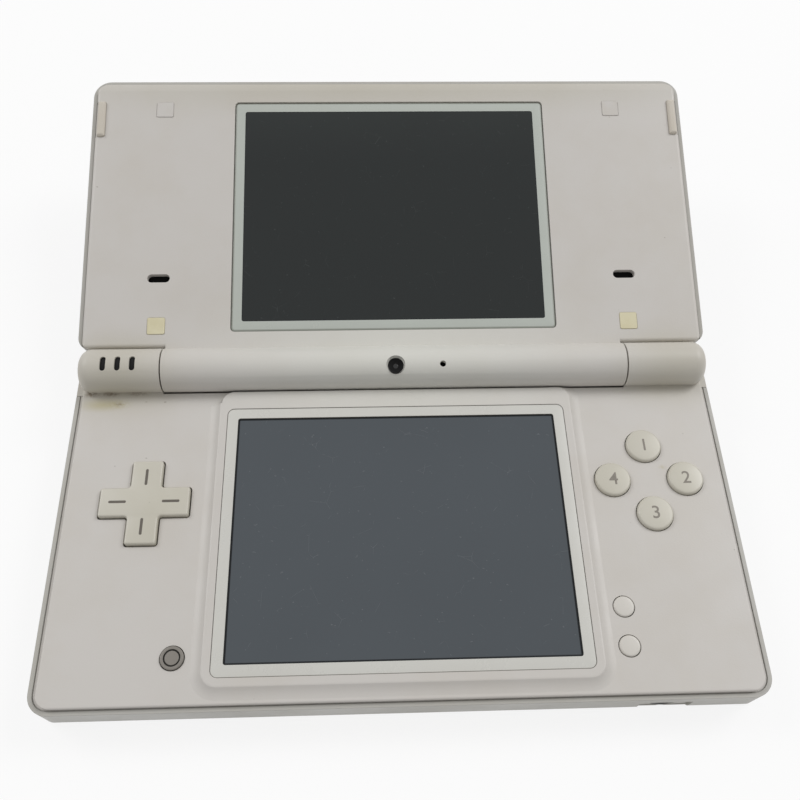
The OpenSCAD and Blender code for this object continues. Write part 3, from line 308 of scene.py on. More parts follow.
@dataclass(frozen=True)
class Plastic:
    """Moulded plastic or rubber with a fine grain, handling marks, sparse specks, and any stains
    and patches of painted light and shade.
    """

    name: str
    colour: Colour
    aged: Colour
    roughness: float = 0.42
    grain: float = 0.00035
    grain_depth: float = 0.000012
    blotch: float = 0.018
    ageing: float = 0.5
    specks: float = 0.5
    specular: float = 0.5
    edge_wear: float = 0.0
    stains_and_light_patches: tuple[StainAndLightPatch, ...] = ()
    speck: float = 0.0009
    speck_patch: float = 0.006
    wipe: float = 0.011
    wipe_rough: float = 0.10
    grain_rough: float = 0.08

    def make(self) -> bpy.types.Material:
        """Builds the material.

        Returns:
            The material.
        """
        graph = Graph(self.name)
        cloud = graph.noise(self.blotch, 4.0, 0.6).smooth(0.35, 0.75)
        tone = graph.mix(cloud * self.ageing, self.colour, self.aged)
        fleck = graph.noise(self.speck, 1.0).smooth(0.80, 0.84)
        fleck = fleck * graph.noise(self.speck_patch, 1.0).smooth(0.5, 0.6)
        tone = graph.mix(fleck * self.specks, tone, SPECK_TONE)
        # Stains, and patches of painted light and shade, laid over the tone.
        for patch in self.stains_and_light_patches:
            tone = patch.over(graph, tone)
        fine = graph.noise(self.grain, 2.0)
        wipe = graph.noise(self.wipe, 3.0).smooth(0.3, 0.7)
        rough = (wipe - 0.5) * self.wipe_rough + (fine - 0.5) * self.grain_rough + self.roughness
        worn = graph.worn_edges(self.edge_wear) if self.edge_wear > 0 else None
        normal = graph.bump(fine, self.grain_depth, worn)
        graph.surface(
            Base_Color=tone, Roughness=rough, Specular_IOR_Level=self.specular, Normal=normal
        )
        return graph.material


@dataclass(frozen=True)
class TwoRubbers:
    """The lid's pads: cream rubber beside the hinge and plate-coloured ones at the far edge."""

    name: str
    near: Plastic
    far: Plastic
    border: float
    blotch: float = 0.003
    ageing: float = 0.6
    grain: float = 0.0003
    grain_depth: float = 0.00001
    grain_rough: float = 0.1

    def make(self) -> bpy.types.Material:
        """Builds the material.

        Returns:
            The material.
        """
        graph = Graph(self.name)
        beyond = graph.axis("Y").above(self.border)
        cloud = graph.noise(self.blotch, 3.0).smooth(0.35, 0.7)
        colour = graph.mix(beyond, self.near.colour, self.far.colour)
        aged = graph.mix(beyond, self.near.aged, self.far.aged)
        fine = graph.noise(self.grain, 2.0)
        rough = (fine - 0.5) * self.grain_rough + self.near.roughness
        tone = graph.mix(cloud * self.ageing, colour, aged)
        normal = graph.bump(fine, self.grain_depth)
        graph.surface(Base_Color=tone, Roughness=rough, Normal=normal)
        return graph.material


@dataclass(frozen=True)
class Metal:
    """Sheet or turned metal with fine brushing."""

    name: str
    colour: Colour
    roughness: float = 0.32
    blotch: float = 0.004
    tarnish: float = 0.35
    tarnish_tone: float = 0.7
    blotch_rough: float = 0.2
    grain: float = 0.0003
    grain_depth: float = 0.000006

    def make(self) -> bpy.types.Material:
        """Builds the material.

        Returns:
            The material.
        """
        graph = Graph(self.name)
        cloud = graph.noise(self.blotch, 3.0)
        darker = tuple(level * self.tarnish_tone for level in self.colour)
        tone = graph.mix(cloud.smooth(0.3, 0.8) * self.tarnish, self.colour, darker)
        fine = graph.noise(self.grain, 2.0)
        rough = (cloud - 0.5) * self.blotch_rough + self.roughness
        normal = graph.bump(fine, self.grain_depth)
        graph.surface(Base_Color=tone, Metallic=1.0, Roughness=rough, Normal=normal)
        return graph.material


@dataclass(frozen=True)
class DarkGlass:
    """Dark glossy glass or film over an unlit display, with hairline scratches and dust, and a
    lighter band across the far end that is a painted reflection.
    """

    name: str
    colour: Colour
    painted_reflection: Colour
    roughness: float = 0.06
    scratches: float = 0.5
    specular: float = 0.5
    reflection_from: float = 1.0
    reflection_to: float = 1.1
    film: float = 0.03
    film_tone: float = 0.75
    cells_per_metre: float = 230.0
    hair_share: float = 0.006
    hair_patch: float = 0.004
    dust: float = 0.0007

    def make(self) -> bpy.types.Material:
        """Builds the material.

        Returns:
            The material.
        """
        graph = Graph(self.name)
        film = graph.noise(self.film, 2.0)
        # A lighter band across the far end of the glass: a painted reflection.
        far = graph.axis("Y").smooth(self.reflection_from, self.reflection_to)
        tone = graph.mix(far, self.colour, self.painted_reflection)
        filmed = tuple(level * self.film_tone for level in self.colour)
        tone = graph.mix(film.smooth(0.3, 0.8) * 0.3, tone, filmed)
        sockets = {"Vector": graph.place(), "Scale": self.cells_per_metre, "Randomness": 1.0}
        settings = {"feature": "DISTANCE_TO_EDGE"}
        cells = graph.node("ShaderNodeTexVoronoi", settings, sockets, "Distance")
        hair = 1 - cells.smooth(0.0, self.hair_share)
        hair = hair * graph.noise(self.hair_patch, 2.0).smooth(0.58, 0.66)
        dust = graph.noise(self.dust, 1.0).smooth(0.74, 0.79)
        marks = (hair + dust * 0.6) * self.scratches
        tone = graph.mix(marks * 0.5, tone, DUST_TONE)
        rough = film * 0.06 + marks * 0.3 + self.roughness
        graph.surface(Base_Color=tone, Roughness=rough, Specular_IOR_Level=self.specular)
        return graph.material


BROWN = srgb(112, 92, 66)
STRAW = srgb(176, 167, 130)
# A yellowed tone that also carries painted shade, and a pale tone that is painted light.
YELLOWED_AND_SHADED = srgb(178, 173, 152)
PAINTED_LIGHT = srgb(220, 221, 213)

# Yellowing with painted shade on both knuckles and the far edge, a painted pool of light over the
# middle, then single smudges.
PLATE_STAINS_AND_PAINTED_LIGHT = (
    # Both knuckles and the far edge: yellowing plus painted shade.
    StainAndLightPatch((-0.0590, 0.0320, 0.0120), (0.0190, 0.0120, 0.0110), YELLOWED_AND_SHADED, 0.75, ragged=False),
    StainAndLightPatch((0.0590, 0.0320, 0.0120), (0.0190, 0.0120, 0.0110), YELLOWED_AND_SHADED, 0.65, ragged=False),
    StainAndLightPatch((0.0, 0.1000, 0.0290), (0.1100, 0.0120, 0.0120), YELLOWED_AND_SHADED, 0.5, ragged=False),
    # The middle: a painted pool of light.
    StainAndLightPatch((0.0, 0.0330, 0.0160), (0.0600, 0.0260, 0.0260), PAINTED_LIGHT, 0.6, ragged=False),
    # Single smudges and stains.
    StainAndLightPatch((-0.0650, 0.0282, 0.0103), (0.0024, 0.0011, 0.0016), BROWN, 0.85),
    StainAndLightPatch((-0.0608, 0.0283, 0.0103), (0.0030, 0.0010, 0.0016), BROWN, 0.75),
    StainAndLightPatch((-0.0552, 0.0283, 0.0103), (0.0034, 0.0009, 0.0014), BROWN, 0.55),
    StainAndLightPatch((-0.0625, 0.0256, 0.0101), (0.0062, 0.0022, 0.0012), STRAW, 0.7, ragged=False),
    StainAndLightPatch((-0.0590, 0.0257, 0.0101), (0.0040, 0.0016, 0.0010), STRAW, 0.65),
    StainAndLightPatch((-0.0589, 0.0257, 0.0101), (0.0014, 0.0007, 0.0006), BROWN, 0.55),
    StainAndLightPatch((-0.0492, 0.0261, 0.0101), (0.0004, 0.0003, 0.0004), BROWN, 1.0),
    StainAndLightPatch((-0.0532, 0.0262, 0.0101), (0.0004, 0.0002, 0.0004), BROWN, 0.8),
    StainAndLightPatch((0.0549, 0.0089, 0.0101), (0.0012, 0.0008, 0.0006), STRAW, 0.5),
)

# The shell's tone is darker than the plate's: painted shade on the sunken rim beside the plate.
SHELL_WITH_PAINTED_SHADE = Plastic("shell_plastic_painted_shade", srgb(182, 180, 174), srgb(172, 168, 158), edge_wear=0.00015)
PLATE = Plastic(
    "plate_plastic", srgb(204, 200, 195), srgb(197, 191, 182), roughness=0.46,
    edge_wear=0.00012, stains_and_light_patches=PLATE_STAINS_AND_PAINTED_LIGHT,
)
KEY = Plastic(
    "key_plastic", srgb(202, 198, 186), srgb(193, 188, 172), roughness=0.34,
    grain_depth=0.000004,
)
MENU = Plastic(
    "menu_key_plastic", srgb(211, 207, 200), srgb(204, 199, 190), roughness=0.34,
    grain_depth=0.000004,
)
MARK = Plastic("inlaid_mark", srgb(98, 92, 84), srgb(86, 80, 72), roughness=0.6)
NUMERAL = Plastic("printed_numeral", srgb(134, 128, 119), srgb(124, 118, 108), roughness=0.5)
POWER = Plastic("power_key_plastic", srgb(131, 126, 119), srgb(120, 115, 107), roughness=0.38)
# Near-black painted shade for the power key's groove and the screws' cross recesses.
GROOVE_SHADOW = Plastic(
    "groove_shadow", srgb(58, 57, 54), srgb(48, 46, 44), roughness=0.7, specular=0.1
)
RING = Plastic(
    "window_border", srgb(185, 190, 183), srgb(179, 183, 175), roughness=0.3,
    grain_depth=0.000003,
)
# Painted shade for the upper window border's outer groove and its step.
RING_EDGE_SHADE = Plastic(
    "window_border_edge_painted_shade", srgb(156, 160, 152), srgb(150, 153, 145), roughness=0.4
)
FILM = Plastic(
    "touch_border", srgb(208, 207, 201), srgb(202, 200, 193), roughness=0.3,
    grain_depth=0.000003,
)
# Painted shade for the touch panel's step down and its rounded outer edge.
FILM_EDGE_SHADE = Plastic("touch_edge_painted_shade", srgb(140, 137, 130), srgb(130, 126, 118), roughness=0.5)
CREAM = Plastic("cream_rubber", srgb(218, 211, 180), srgb(208, 199, 163), roughness=0.62)
BUMPER = Plastic("bumper_rubber", srgb(204, 197, 185), srgb(192, 182, 166), roughness=0.6)
MEMBRANE = Plastic("membrane_rubber", srgb(140, 142, 146), srgb(126, 128, 132), roughness=0.65)
BLACK = Plastic("black_plastic", srgb(38, 38, 40), srgb(46, 46, 46), roughness=0.42)
# Near-black for the speakers and microphone seen through their holes: painted shade of the holes.
HOLE_SHADE = Plastic("hole_painted_shade", srgb(20, 20, 20), srgb(26, 26, 25), roughness=0.9, specular=0.1)
# Dark ring round each window: the display's black border and painted shade inside the step.
MASK_AND_SHADE = Plastic("window_mask_and_painted_shade", srgb(24, 27, 30), srgb(28, 31, 34), roughness=0.5, specular=0.2)
EYE = Plastic("eye_black", srgb(16, 16, 17), srgb(20, 20, 20), roughness=0.5, specular=0.15)
GREY = Plastic("grey_plastic", srgb(92, 92, 94), srgb(84, 84, 84), roughness=0.45)
BOARD = Plastic("lacquered_board", srgb(34, 92, 62), srgb(28, 78, 54), roughness=0.3)
BATTERY = Plastic("battery_wrap", srgb(196, 192, 180), srgb(184, 178, 164), roughness=0.5)
CABLE = Plastic("flex_film", srgb(188, 128, 54), srgb(170, 112, 44), roughness=0.35)
LIGHT = Plastic(
    "light_plastic", srgb(30, 30, 30), srgb(22, 22, 22), roughness=0.6, specular=0.12
)
SCREW = Metal("zinc_plate", srgb(188, 188, 190))
STEEL = Metal("ground_steel", srgb(178, 178, 182), roughness=0.25)
TRAY = Metal("stamped_steel", srgb(200, 201, 203), roughness=0.38)
# The upper glass grows lighter towards the lid's far end: a painted reflection.
UPPER_GLASS = DarkGlass(
    "upper_glass", srgb(18, 25, 25), srgb(32, 38, 37), scratches=0.35, specular=0.36,
    reflection_from=0.078, reflection_to=0.100,
)
LOWER_GLASS = DarkGlass(
    "lower_film", srgb(67, 74, 80), srgb(67, 74, 80), roughness=0.10, scratches=0.8
)
LENS = DarkGlass(
    "lens_glass", srgb(14, 14, 16), srgb(14, 14, 16), roughness=0.03, scratches=0.1
)
PADS = TwoRubbers("lid_pad_rubber", CREAM, PLATE, 0.065)

SLOT_FINISHES = {
    "shell": SHELL_WITH_PAINTED_SHADE,
    "plate": PLATE,
    "key": KEY,
    "power_key": POWER,
    "touch_film": FILM,
    "window": RING,
    "display": LOWER_GLASS,
    "tray": TRAY,
    "board": BOARD,
    "battery": BATTERY,
    "screw": SCREW,
    "rubber_pad": CREAM,
    "bumper": BUMPER,
    "membrane": MEMBRANE,
    "black_part": BLACK,
    "light": LIGHT,
    "steel": STEEL,
    "sleeve": GREY,
    "lens": LENS,
    "cable": CABLE,
}

# The speakers and microphone take the holes' painted shade.
NODE_FINISHES = {
    "lid_pads": PADS, "microphone": HOLE_SHADE, "left_speaker": HOLE_SHADE, "right_speaker": HOLE_SHADE
}


class Wardrobe:
    """Makes each finish's material once."""

    def __init__(self) -> None:
        """Starts with no material made."""
        self.made: dict[str, bpy.types.Material] = {}

    def get(self, finish: Any) -> bpy.types.Material:
        """Gives the material of a finish, and builds it the first time."""
        if finish.name not in self.made:
            self.made[finish.name] = finish.make()
        return self.made[finish.name]

    def dress(self, piece: bpy.types.Object, *finishes: Any) -> None:
        """Gives a piece its finishes, one material slot each."""
        slots = piece.data.materials
        for index, finish in enumerate(finishes):
            if index < len(slots):
                slots[index] = self.get(finish)
            else:
                slots.append(self.get(finish))


WARDROBE = Wardrobe()


@dataclass(frozen=True)
class Axes:
    """Axes that a piece is drawn in, with Z square out of the face that it sits in."""

    matrix: Matrix

    def extent(self, node: str) -> tuple[Vector, Vector]:
        """Measures a CAD node in these axes.

        Args:
            node: The node's name.

        Returns:
            Its lowest and its highest corner.
        """
        inverse = self.matrix.inverted()
        points = [inverse @ vertex.co for vertex in frame["nodes"][node].data.vertices]
        low = Vector([min(point[i] for point in points) for i in range(3)])
        high = Vector([max(point[i] for point in points) for i in range(3)])
        return low, high


def lid_axes() -> Axes:
    """Works out the lid's axes from the hinge in the record.

    Returns:
        Axes on the hinge, turned by the angle of the open lid above the table.
    """
    joints = frame["record"]["behaviour"]["joints"]
    hinge = next(joint for joint in joints if joint["name"] == "lid_hinge")
    turn = Matrix.Rotation(math.radians(-hinge["range_deg"][0]), 4, "X")
    return Axes(Matrix.Translation(hinge["pos_m"]) @ turn)


BASE_AXES = Axes(Matrix.Identity(4))
LID_AXES = lid_axes()

FEW_STEPS = 3
EDGE_STEPS = 4


def arc(
    across: float, up: float, radius: float, start: float, end: float, steps: int = 5
) -> Profile:
    """Gives the points of an arc in a lathe's profile.

    Args:
        across: The arc's middle, out from the axis.
        up: The arc's middle, along the axis.
        radius: Its radius.
        start: The angle that it starts at, in degrees.
        end: The angle that it ends at.
        steps: How many steps it takes.

    Returns:
        The points, each as a distance out and a height.
    """
    turns = [math.radians(start + (end - start) * i / steps) for i in range(steps + 1)]
    return [(across + radius * math.cos(turn), up + radius * math.sin(turn)) for turn in turns]


def centre(low: Vector, high: Vector, height: float) -> Vector:
    """Gives the point over the middle of a box.

    Args:
        low: The box's lowest corner.
        high: The box's highest corner.
        height: The height that the point lies at.

    Returns:
        The point.
    """
    return Vector(((low.x + high.x) / 2, (low.y + high.y) / 2, height))


class Mould:
    """A piece's mesh while operators shape it."""

    MERGE_GAP = 1e-7
    SHARP_ANGLE = 32

    def __init__(self, axes: Axes, steps: int = 6) -> None:
        """Starts empty.

        Args:
            axes: The axes that the piece is drawn in.
            steps: The steps of each rounded corner.
        """
        self.axes = axes
        self.steps = steps
        self.mesh = bmesh.new()

    def pane(
        self, width: float, depth: float, corner: float, middle: Vector
    ) -> bmesh.types.BMFace:
        """Adds a flat rectangle with rounded corners.

        Args:
            width: Its size along X.
            depth: Its size along Y.
            corner: The radius of its corners.
            middle: Its middle.

        Returns:
            The face.
        """
        verts = bmesh.ops.create_grid(self.mesh, x_segments=1, y_segments=1, size=0.5)["verts"]
        bmesh.ops.scale(self.mesh, vec=(width, depth, 1.0), verts=verts)
        bmesh.ops.translate(self.mesh, vec=middle, verts=verts)
        return self.round_corners(verts, corner)[0].link_faces[0]

    def round_corners(self, verts: list, radius: float) -> list:
        """Rounds corners of a flat face and gives the new vertices."""
        made = bmesh.ops.bevel(
            self.mesh, geom=verts, offset=radius, segments=self.steps, profile=0.5,
            affect="VERTICES",
        )
        return made["verts"]

    def raise_face(self, face: bmesh.types.BMFace, height: float) -> bmesh.types.BMFace:
        """Pulls a face out into a solid and gives the face at its new end."""
        made = bmesh.ops.extrude_face_region(self.mesh, geom=[face])["geom"]
        verts = [item for item in made if isinstance(item, bmesh.types.BMVert)]
        bmesh.ops.translate(self.mesh, vec=(0.0, 0.0, height), verts=verts)
        return next(item for item in made if isinstance(item, bmesh.types.BMFace))

    def soften(self, edges: list, width: float) -> list:
        """Rounds edges off and gives the new faces."""
        made = bmesh.ops.bevel(
            self.mesh, geom=edges, offset=width, segments=EDGE_STEPS, profile=0.5,
            affect="EDGES", material=-1,
        )
        return made["faces"]

    def drop_edges(self, edges: list, depth: float) -> tuple[list, list]:
        """Pulls a loop of edges straight down.

        Args:
            edges: The loop.
            depth: How far it goes down.

        Returns:
            The edges of the lower loop, and the faces of the wall.
        """
        made = bmesh.ops.extrude_edge_only(self.mesh, edges=edges)["geom"]
        verts = [item for item in made if isinstance(item, bmesh.types.BMVert)]
        bmesh.ops.translate(self.mesh, vec=(0.0, 0.0, -depth), verts=verts)
        ends = set(verts)
        moved = [item for item in made if isinstance(item, bmesh.types.BMEdge)]
        lower = [edge for edge in moved if ends >= set(edge.verts)]
        return lower, [item for item in made if isinstance(item, bmesh.types.BMFace)]

    def close(self, edges: list) -> bmesh.types.BMFace:
        """Fills a flat loop with one face."""
        return bmesh.ops.contextual_create(self.mesh, geom=edges)["faces"][0]

    def lathe(self, profile: Profile, middle: Vector, steps: int = 64) -> None:
        """Turns a profile all the way round an upright axis.

        Args:
            profile: Points, each as a distance out and a height.
            middle: The point on the axis that heights count from.
            steps: The steps of the turn.
        """
        verts = [self.mesh.verts.new(middle + Vector((out, 0.0, up))) for out, up in profile]
        edges = [self.mesh.edges.new(pair) for pair in zip(verts, verts[1:])]
        bmesh.ops.spin(
            self.mesh, geom=verts + edges, cent=middle, axis=(0.0, 0.0, 1.0), angle=math.tau,
            steps=steps, use_merge=True,
        )
        bmesh.ops.remove_doubles(self.mesh, verts=self.mesh.verts, dist=self.MERGE_GAP)

    def paint(self, index: int, wanted: Callable[[Vector], bool]) -> None:
        """Gives a material slot to the faces whose middle passes a test."""
        for face in self.mesh.faces:
            if wanted(face.calc_center_median()):
                face.material_index = index

    def cast(self, name: str, finishes: Iterable[Any], body: str, *nodes: str) -> None:
        """Ends the piece.

        Args:
            name: The piece's name.
            finishes: Its finishes, in the order of its slots.
            body: The body that it rides on.
            nodes: The CAD nodes that it is shown in place of.
        """
        bmesh.ops.recalc_face_normals(self.mesh, faces=self.mesh.faces)
        data = bpy.data.meshes.new(name)
        self.mesh.to_mesh(data)
        self.mesh.free()
        data.transform(self.axes.matrix)
        data.shade_smooth()
        data.set_sharp_from_angle(angle=math.radians(self.SHARP_ANGLE))
        piece = bpy.data.objects.new(name, data)
        bpy.context.scene.collection.objects.link(piece)
        WARDROBE.dress(piece, *finishes)
        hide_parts(*nodes)
        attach(piece, body)
        LOG.info("built %s with %d faces", name, len(data.polygons))


@dataclass
class FramedWindow:
    """A screen's pane: a pale border round a dark window that lies a little lower, with painted
    shade on its rounded outer edge and on the step down, and a dark ring round the window that is
    both the display's black border and painted shade inside the step.
    """

    EDGE_SHADE_SLOT = 1
    GLASS_SLOT = 2
    MASK_AND_SHADE_SLOT = 3

    name: str
    node: str
    display: str
    axes: Axes
    body: str
    border: Plastic
    # Painted shade for the step's wall and the rounded outer edge.
    edge: Plastic
    glass: DarkGlass
    corner: float
    sink: float
    edge_width: float
    mask_and_shade_width: float
    grow: float = 0.07 * MM
    window_corner: float = 0.5 * MM
    display_lap: float = 0.7 * MM

    def build(self) -> None:
        """Builds and dresses the pane."""
        low, high = self.axes.extent(self.node)
        screen_low, screen_high = self.axes.extent(self.display)
        middle = centre(low, high, high.z)
        window = screen_high - screen_low - Vector((2, 2, 0)) * self.display_lap
        mould = Mould(self.axes)
        width, depth = (high - low).xy + Vector((2, 2)) * self.grow
        outer = list(mould.pane(width, depth, self.corner, middle).edges)
        inner = list(mould.pane(window.x, window.y, self.window_corner, middle).edges)
        bmesh.ops.delete(mould.mesh, geom=list(mould.mesh.faces), context="FACES_ONLY")
        bmesh.ops.bridge_loops(mould.mesh, edges=outer + inner)
        foot, _wall = mould.drop_edges(outer, high.z - low.z)
        mould.close(foot)
        floor, wall = mould.drop_edges(inner, self.sink)
        glass = mould.close(floor)
        glass.material_index = self.GLASS_SLOT
        # A dark ring round the glass: the display's black border and painted shade inside the step.
        masked = bmesh.ops.inset_region(mould.mesh, faces=[glass], thickness=self.mask_and_shade_width)
        for face in masked["faces"]:
            face.material_index = self.MASK_AND_SHADE_SLOT
        # The step's wall takes painted shade.
        for face in wall:
            face.material_index = self.EDGE_SHADE_SLOT
        # The rounded outer edge takes painted shade.
        rounded = mould.soften([edge for edge in outer if edge.is_valid], self.edge_width)
        for face in rounded:
            face.material_index = self.EDGE_SHADE_SLOT
        finishes = (self.border, self.edge, self.glass, MASK_AND_SHADE)
        mould.cast(self.name, finishes, self.body, self.node)


@dataclass
class RoundKey:
    """A round key: a cap with a gently domed top over the flange that keeps it in."""

    node: str
    finish: Plastic = KEY
    flange_out: float = 0.65 * MM
    flange_t: float = 0.5 * MM
    plate_play: float = 0.1 * MM
    round_r: float = 0.5 * MM
    dome: float = 0.14 * MM
    dome_steps: int = 6

    def crown(self, radius: float) -> Profile:
        """Gives the section of the cap's top, from its middle to its side.

        Args:
            radius: The cap's radius.

        Returns:
            The points, with 0 as the height of the middle.
        """
        flat = radius - self.round_r
        steps = self.dome_steps
        top = [(flat * i / steps, -self.dome * (i / steps) ** 2) for i in range(steps)]
        return top + arc(flat, -self.dome - self.round_r, self.round_r, 90, 0)

    def skirt(self, radius: float, flange_drop: float, depth: float) -> Profile:
        """Gives the section below the cap's edge.

        Args:
            radius: The cap's radius.
            flange_drop: From the key's top down to its flange.
            depth: The key's whole height.

        Returns:
            The points, down to the axis.
        """
        out = radius + self.flange_out
        under = -flange_drop - self.flange_t
        flange = [(radius, -flange_drop), (out, -flange_drop), (out, under)]
        return flange + [(radius, under), (radius, -depth), (0.0, -depth)]

    def size(self) -> tuple[Vector, float, float, float]:
        """Reads the key from the frame.

        Returns:
            The middle of its top, its radius, the drop to its flange, and its whole height.
        """
        low, high = BASE_AXES.extent(self.node)
        radius = (high.x - low.x) / 2 - self.flange_out
        plate_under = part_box("lower_display_tray")[1].z
        flange_drop = high.z - plate_under + self.plate_play
        return centre(low, high, high.z), radius, flange_drop, high.z - low.z

    def build(self) -> None:
        """Builds and dresses the key."""
        middle, radius, flange_drop, depth = self.size()
        mould = Mould(BASE_AXES)
        mould.lathe(self.crown(radius) + self.skirt(radius, flange_drop, depth), middle)
        mould.cast(f"{self.node}_cap", (self.finish,), f"{self.node}_body", self.node)


@dataclass
class NumberedKey(RoundKey):
    """A round key with a plain numeral printed on it."""

    numeral: str = "1"
    numeral_h: float = 3.8 * MM
    numeral_fat: float = 0.03 * MM
    numeral_step: float = 0.35 * MM
    numeral_curve: int = 4
    splits: int = 4
    print_lift: float = 0.014 * MM

    def refine(self, data: bpy.types.Mesh) -> None:
        """Splits the numeral's long edges, so that it can follow the key's domed top."""
        mesh = bmesh.new()
        mesh.from_mesh(data)
        for _ in range(self.splits):
            bmesh.ops.triangulate(mesh, faces=mesh.faces)
            long = [edge for edge in mesh.edges if edge.calc_length() > self.numeral_step]
            bmesh.ops.subdivide_edges(mesh, edges=long, cuts=1)
        mesh.to_mesh(data)
        mesh.free()

    def write(self) -> bpy.types.Mesh:
        """Writes the numeral flat, with its middle at the origin.

        Returns:
            Its mesh.
        """
        curve = bpy.data.curves.new(f"{self.node}_numeral", "FONT")
        curve.body = self.numeral
        curve.size = self.numeral_h
        curve.offset = self.numeral_fat
        curve.resolution_u = self.numeral_curve
        writer = bpy.data.objects.new(f"{self.node}_writer", curve)
        bpy.context.scene.collection.objects.link(writer)
        bpy.context.view_layer.update()
        data = bpy.data.meshes.new_from_object(writer)
        bpy.data.objects.remove(writer)
        self.refine(data)
        xs = [vertex.co.x for vertex in data.vertices]
        ys = [vertex.co.y for vertex in data.vertices]
        back = Vector((-(min(xs) + max(xs)) / 2, -(min(ys) + max(ys)) / 2, 0.0))
        data.transform(Matrix.Translation(back))
        return data

    def build(self) -> None:
        """Builds the key and its numeral."""
        super().build()
        middle, radius, _drop, _depth = self.size()
        data = self.write()
        data.transform(Matrix.Translation(middle))
        for vertex in data.vertices:
            out = (vertex.co - middle).to_2d().length / (radius - self.round_r)
            vertex.co.z -= self.dome * out * out - self.print_lift
        piece = bpy.data.objects.new(f"{self.node}_numeral", data)
        bpy.context.scene.collection.objects.link(piece)
        WARDROBE.dress(piece, NUMERAL)
        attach(piece, f"{self.node}_body")
        LOG.info("printed %s on %s", self.numeral, self.node)


@dataclass
class PowerKey(RoundKey):
    """The power key: a raised ring round a groove in painted shade and a small disc."""

    finish: Plastic = POWER
    ring_w: float = 0.6 * MM
    groove_w: float = 0.28 * MM
    groove_t: float = 0.24 * MM
    round_r: float = 0.2 * MM
    soft_r: float = 0.08 * MM

    def crown(self, radius: float) -> Profile:
        """Gives the section of the disc, the groove and the ring.

        Args:
            radius: The key's radius.

        Returns:
            The points, with 0 as the height of the ring.
        """
        groove_out = radius - self.ring_w
        disc = groove_out - self.groove_w
        soft = self.soft_r
        middle = [(0.0, -soft / 2), (disc - 2 * soft, -soft)]
        rim = arc(disc - soft, -2 * soft, soft, 90, 0, FEW_STEPS)
        groove = [(disc, -self.groove_t), (groove_out, -self.groove_t)]
        ring = arc(groove_out + soft, -soft, soft, 180, 90, FEW_STEPS)
        edge = arc(radius - self.round_r, -self.round_r, self.round_r, 90, 0)
        return middle + rim + groove + ring + edge

    def build(self) -> None:
        """Builds and dresses the key."""
        middle, radius, flange_drop, depth = self.size()
        groove = radius - self.ring_w - self.groove_w / 2

        def in_groove(at: Vector) -> bool:
            """Tells whether a face's middle lies in the groove."""
            off = abs((at - middle).to_2d().length - groove)
            drop = middle.z - at.z
            return off < self.groove_w * 0.6 and self.groove_t * 0.5 < drop < 2 * self.groove_t

        mould = Mould(BASE_AXES)
        mould.lathe(self.crown(radius) + self.skirt(radius, flange_drop, depth), middle)
        # The groove's faces take painted shade.
        mould.paint(1, in_groove)
        mould.cast(f"{self.node}_cap", (self.finish, GROOVE_SHADOW), f"{self.node}_body", self.node)


@dataclass
class DirectionPad:
    """The direction pad: a cross with four inlaid lines, over a round flange."""

    node: str = "direction_pad"
    body: str = "direction_pad_body"
    arm: float = 6.1 * MM
    flange_out: float = 0.95 * MM
    flange_t: float = 0.5 * MM
    corner_r: float = 0.45 * MM
    fillet_r: float = 0.7 * MM
    edge_r: float = 0.4 * MM
    mark_l: float = 3.5 * MM
    mark_w: float = 0.55 * MM
    mark_end: float = 0.01 * MM
    mark_out: float = 5.3 * MM
    mark_lift: float = 0.012 * MM

    def cross(self, mould: Mould, length: float, middle: Vector) -> bmesh.types.BMFace:
        """Draws the cross with rounded corners as one flat face.

        Args:
            mould: The mould that it is drawn in.
            length: Its length across two arms.
            middle: Its middle.

        Returns:
            The face.
        """
        verts = bmesh.ops.create_grid(mould.mesh, x_segments=3, y_segments=3, size=1.0)["verts"]
        # The grid's lines lie at 1/3 and at 1 from its middle.
        between = 0.6
        for vert in verts:
            place = [math.copysign(length / 2 if abs(c) > between else self.arm / 2, c)
                     for c in vert.co.xy]
            vert.co = middle + Vector((place[0], place[1], 0.0))
        reach = self.arm / 2 + self.fillet_r
        corners = [face for face in mould.mesh.faces
                   if min(abs(c) for c in (face.calc_center_median() - middle).xy) > reach / 2]
        bmesh.ops.delete(mould.mesh, geom=corners, context="FACES")
        inner = [vert for vert in mould.mesh.verts
                 if max(abs(c) for c in (vert.co - middle).xy) < self.arm / 2 + self.corner_r]
        outer = [vert for vert in mould.mesh.verts if vert not in inner]
        bmesh.ops.dissolve_faces(mould.mesh, faces=list(mould.mesh.faces), use_verts=False)
        mould.round_corners(inner, self.fillet_r)
        return mould.round_corners(outer, self.corner_r)[0].link_faces[0]

    def build(self) -> None:
        """Builds and dresses the pad."""
        low, high = BASE_AXES.extent(self.node)
        foot = centre(low, high, low.z)
        length = high.x - low.x - 2 * self.flange_out
        mould = Mould(BASE_AXES)
        top = mould.raise_face(self.cross(mould, length, foot), high.z - low.z)
        mould.soften(list(top.edges), self.edge_r)
        flange = length / 2 + self.flange_out
        disc = [(0.0, 0.0), (flange, 0.0), (flange, self.flange_t), (0.0, self.flange_t)]
        mould.lathe(disc, foot)
        mark_z = high.z - low.z + self.mark_lift
        for turn in range(4):
            angle = turn * math.pi / 2
            out = Vector((self.mark_out * math.cos(angle), self.mark_out * math.sin(angle), mark_z))
            sides = (self.mark_l, self.mark_w) if turn % 2 == 0 else (self.mark_w, self.mark_l)
            mark = mould.pane(*sides, self.mark_w / 2 - self.mark_end, foot + out)
            mark.material_index = 1
        mould.cast("direction_pad_cross", (KEY, MARK), self.body, self.node)


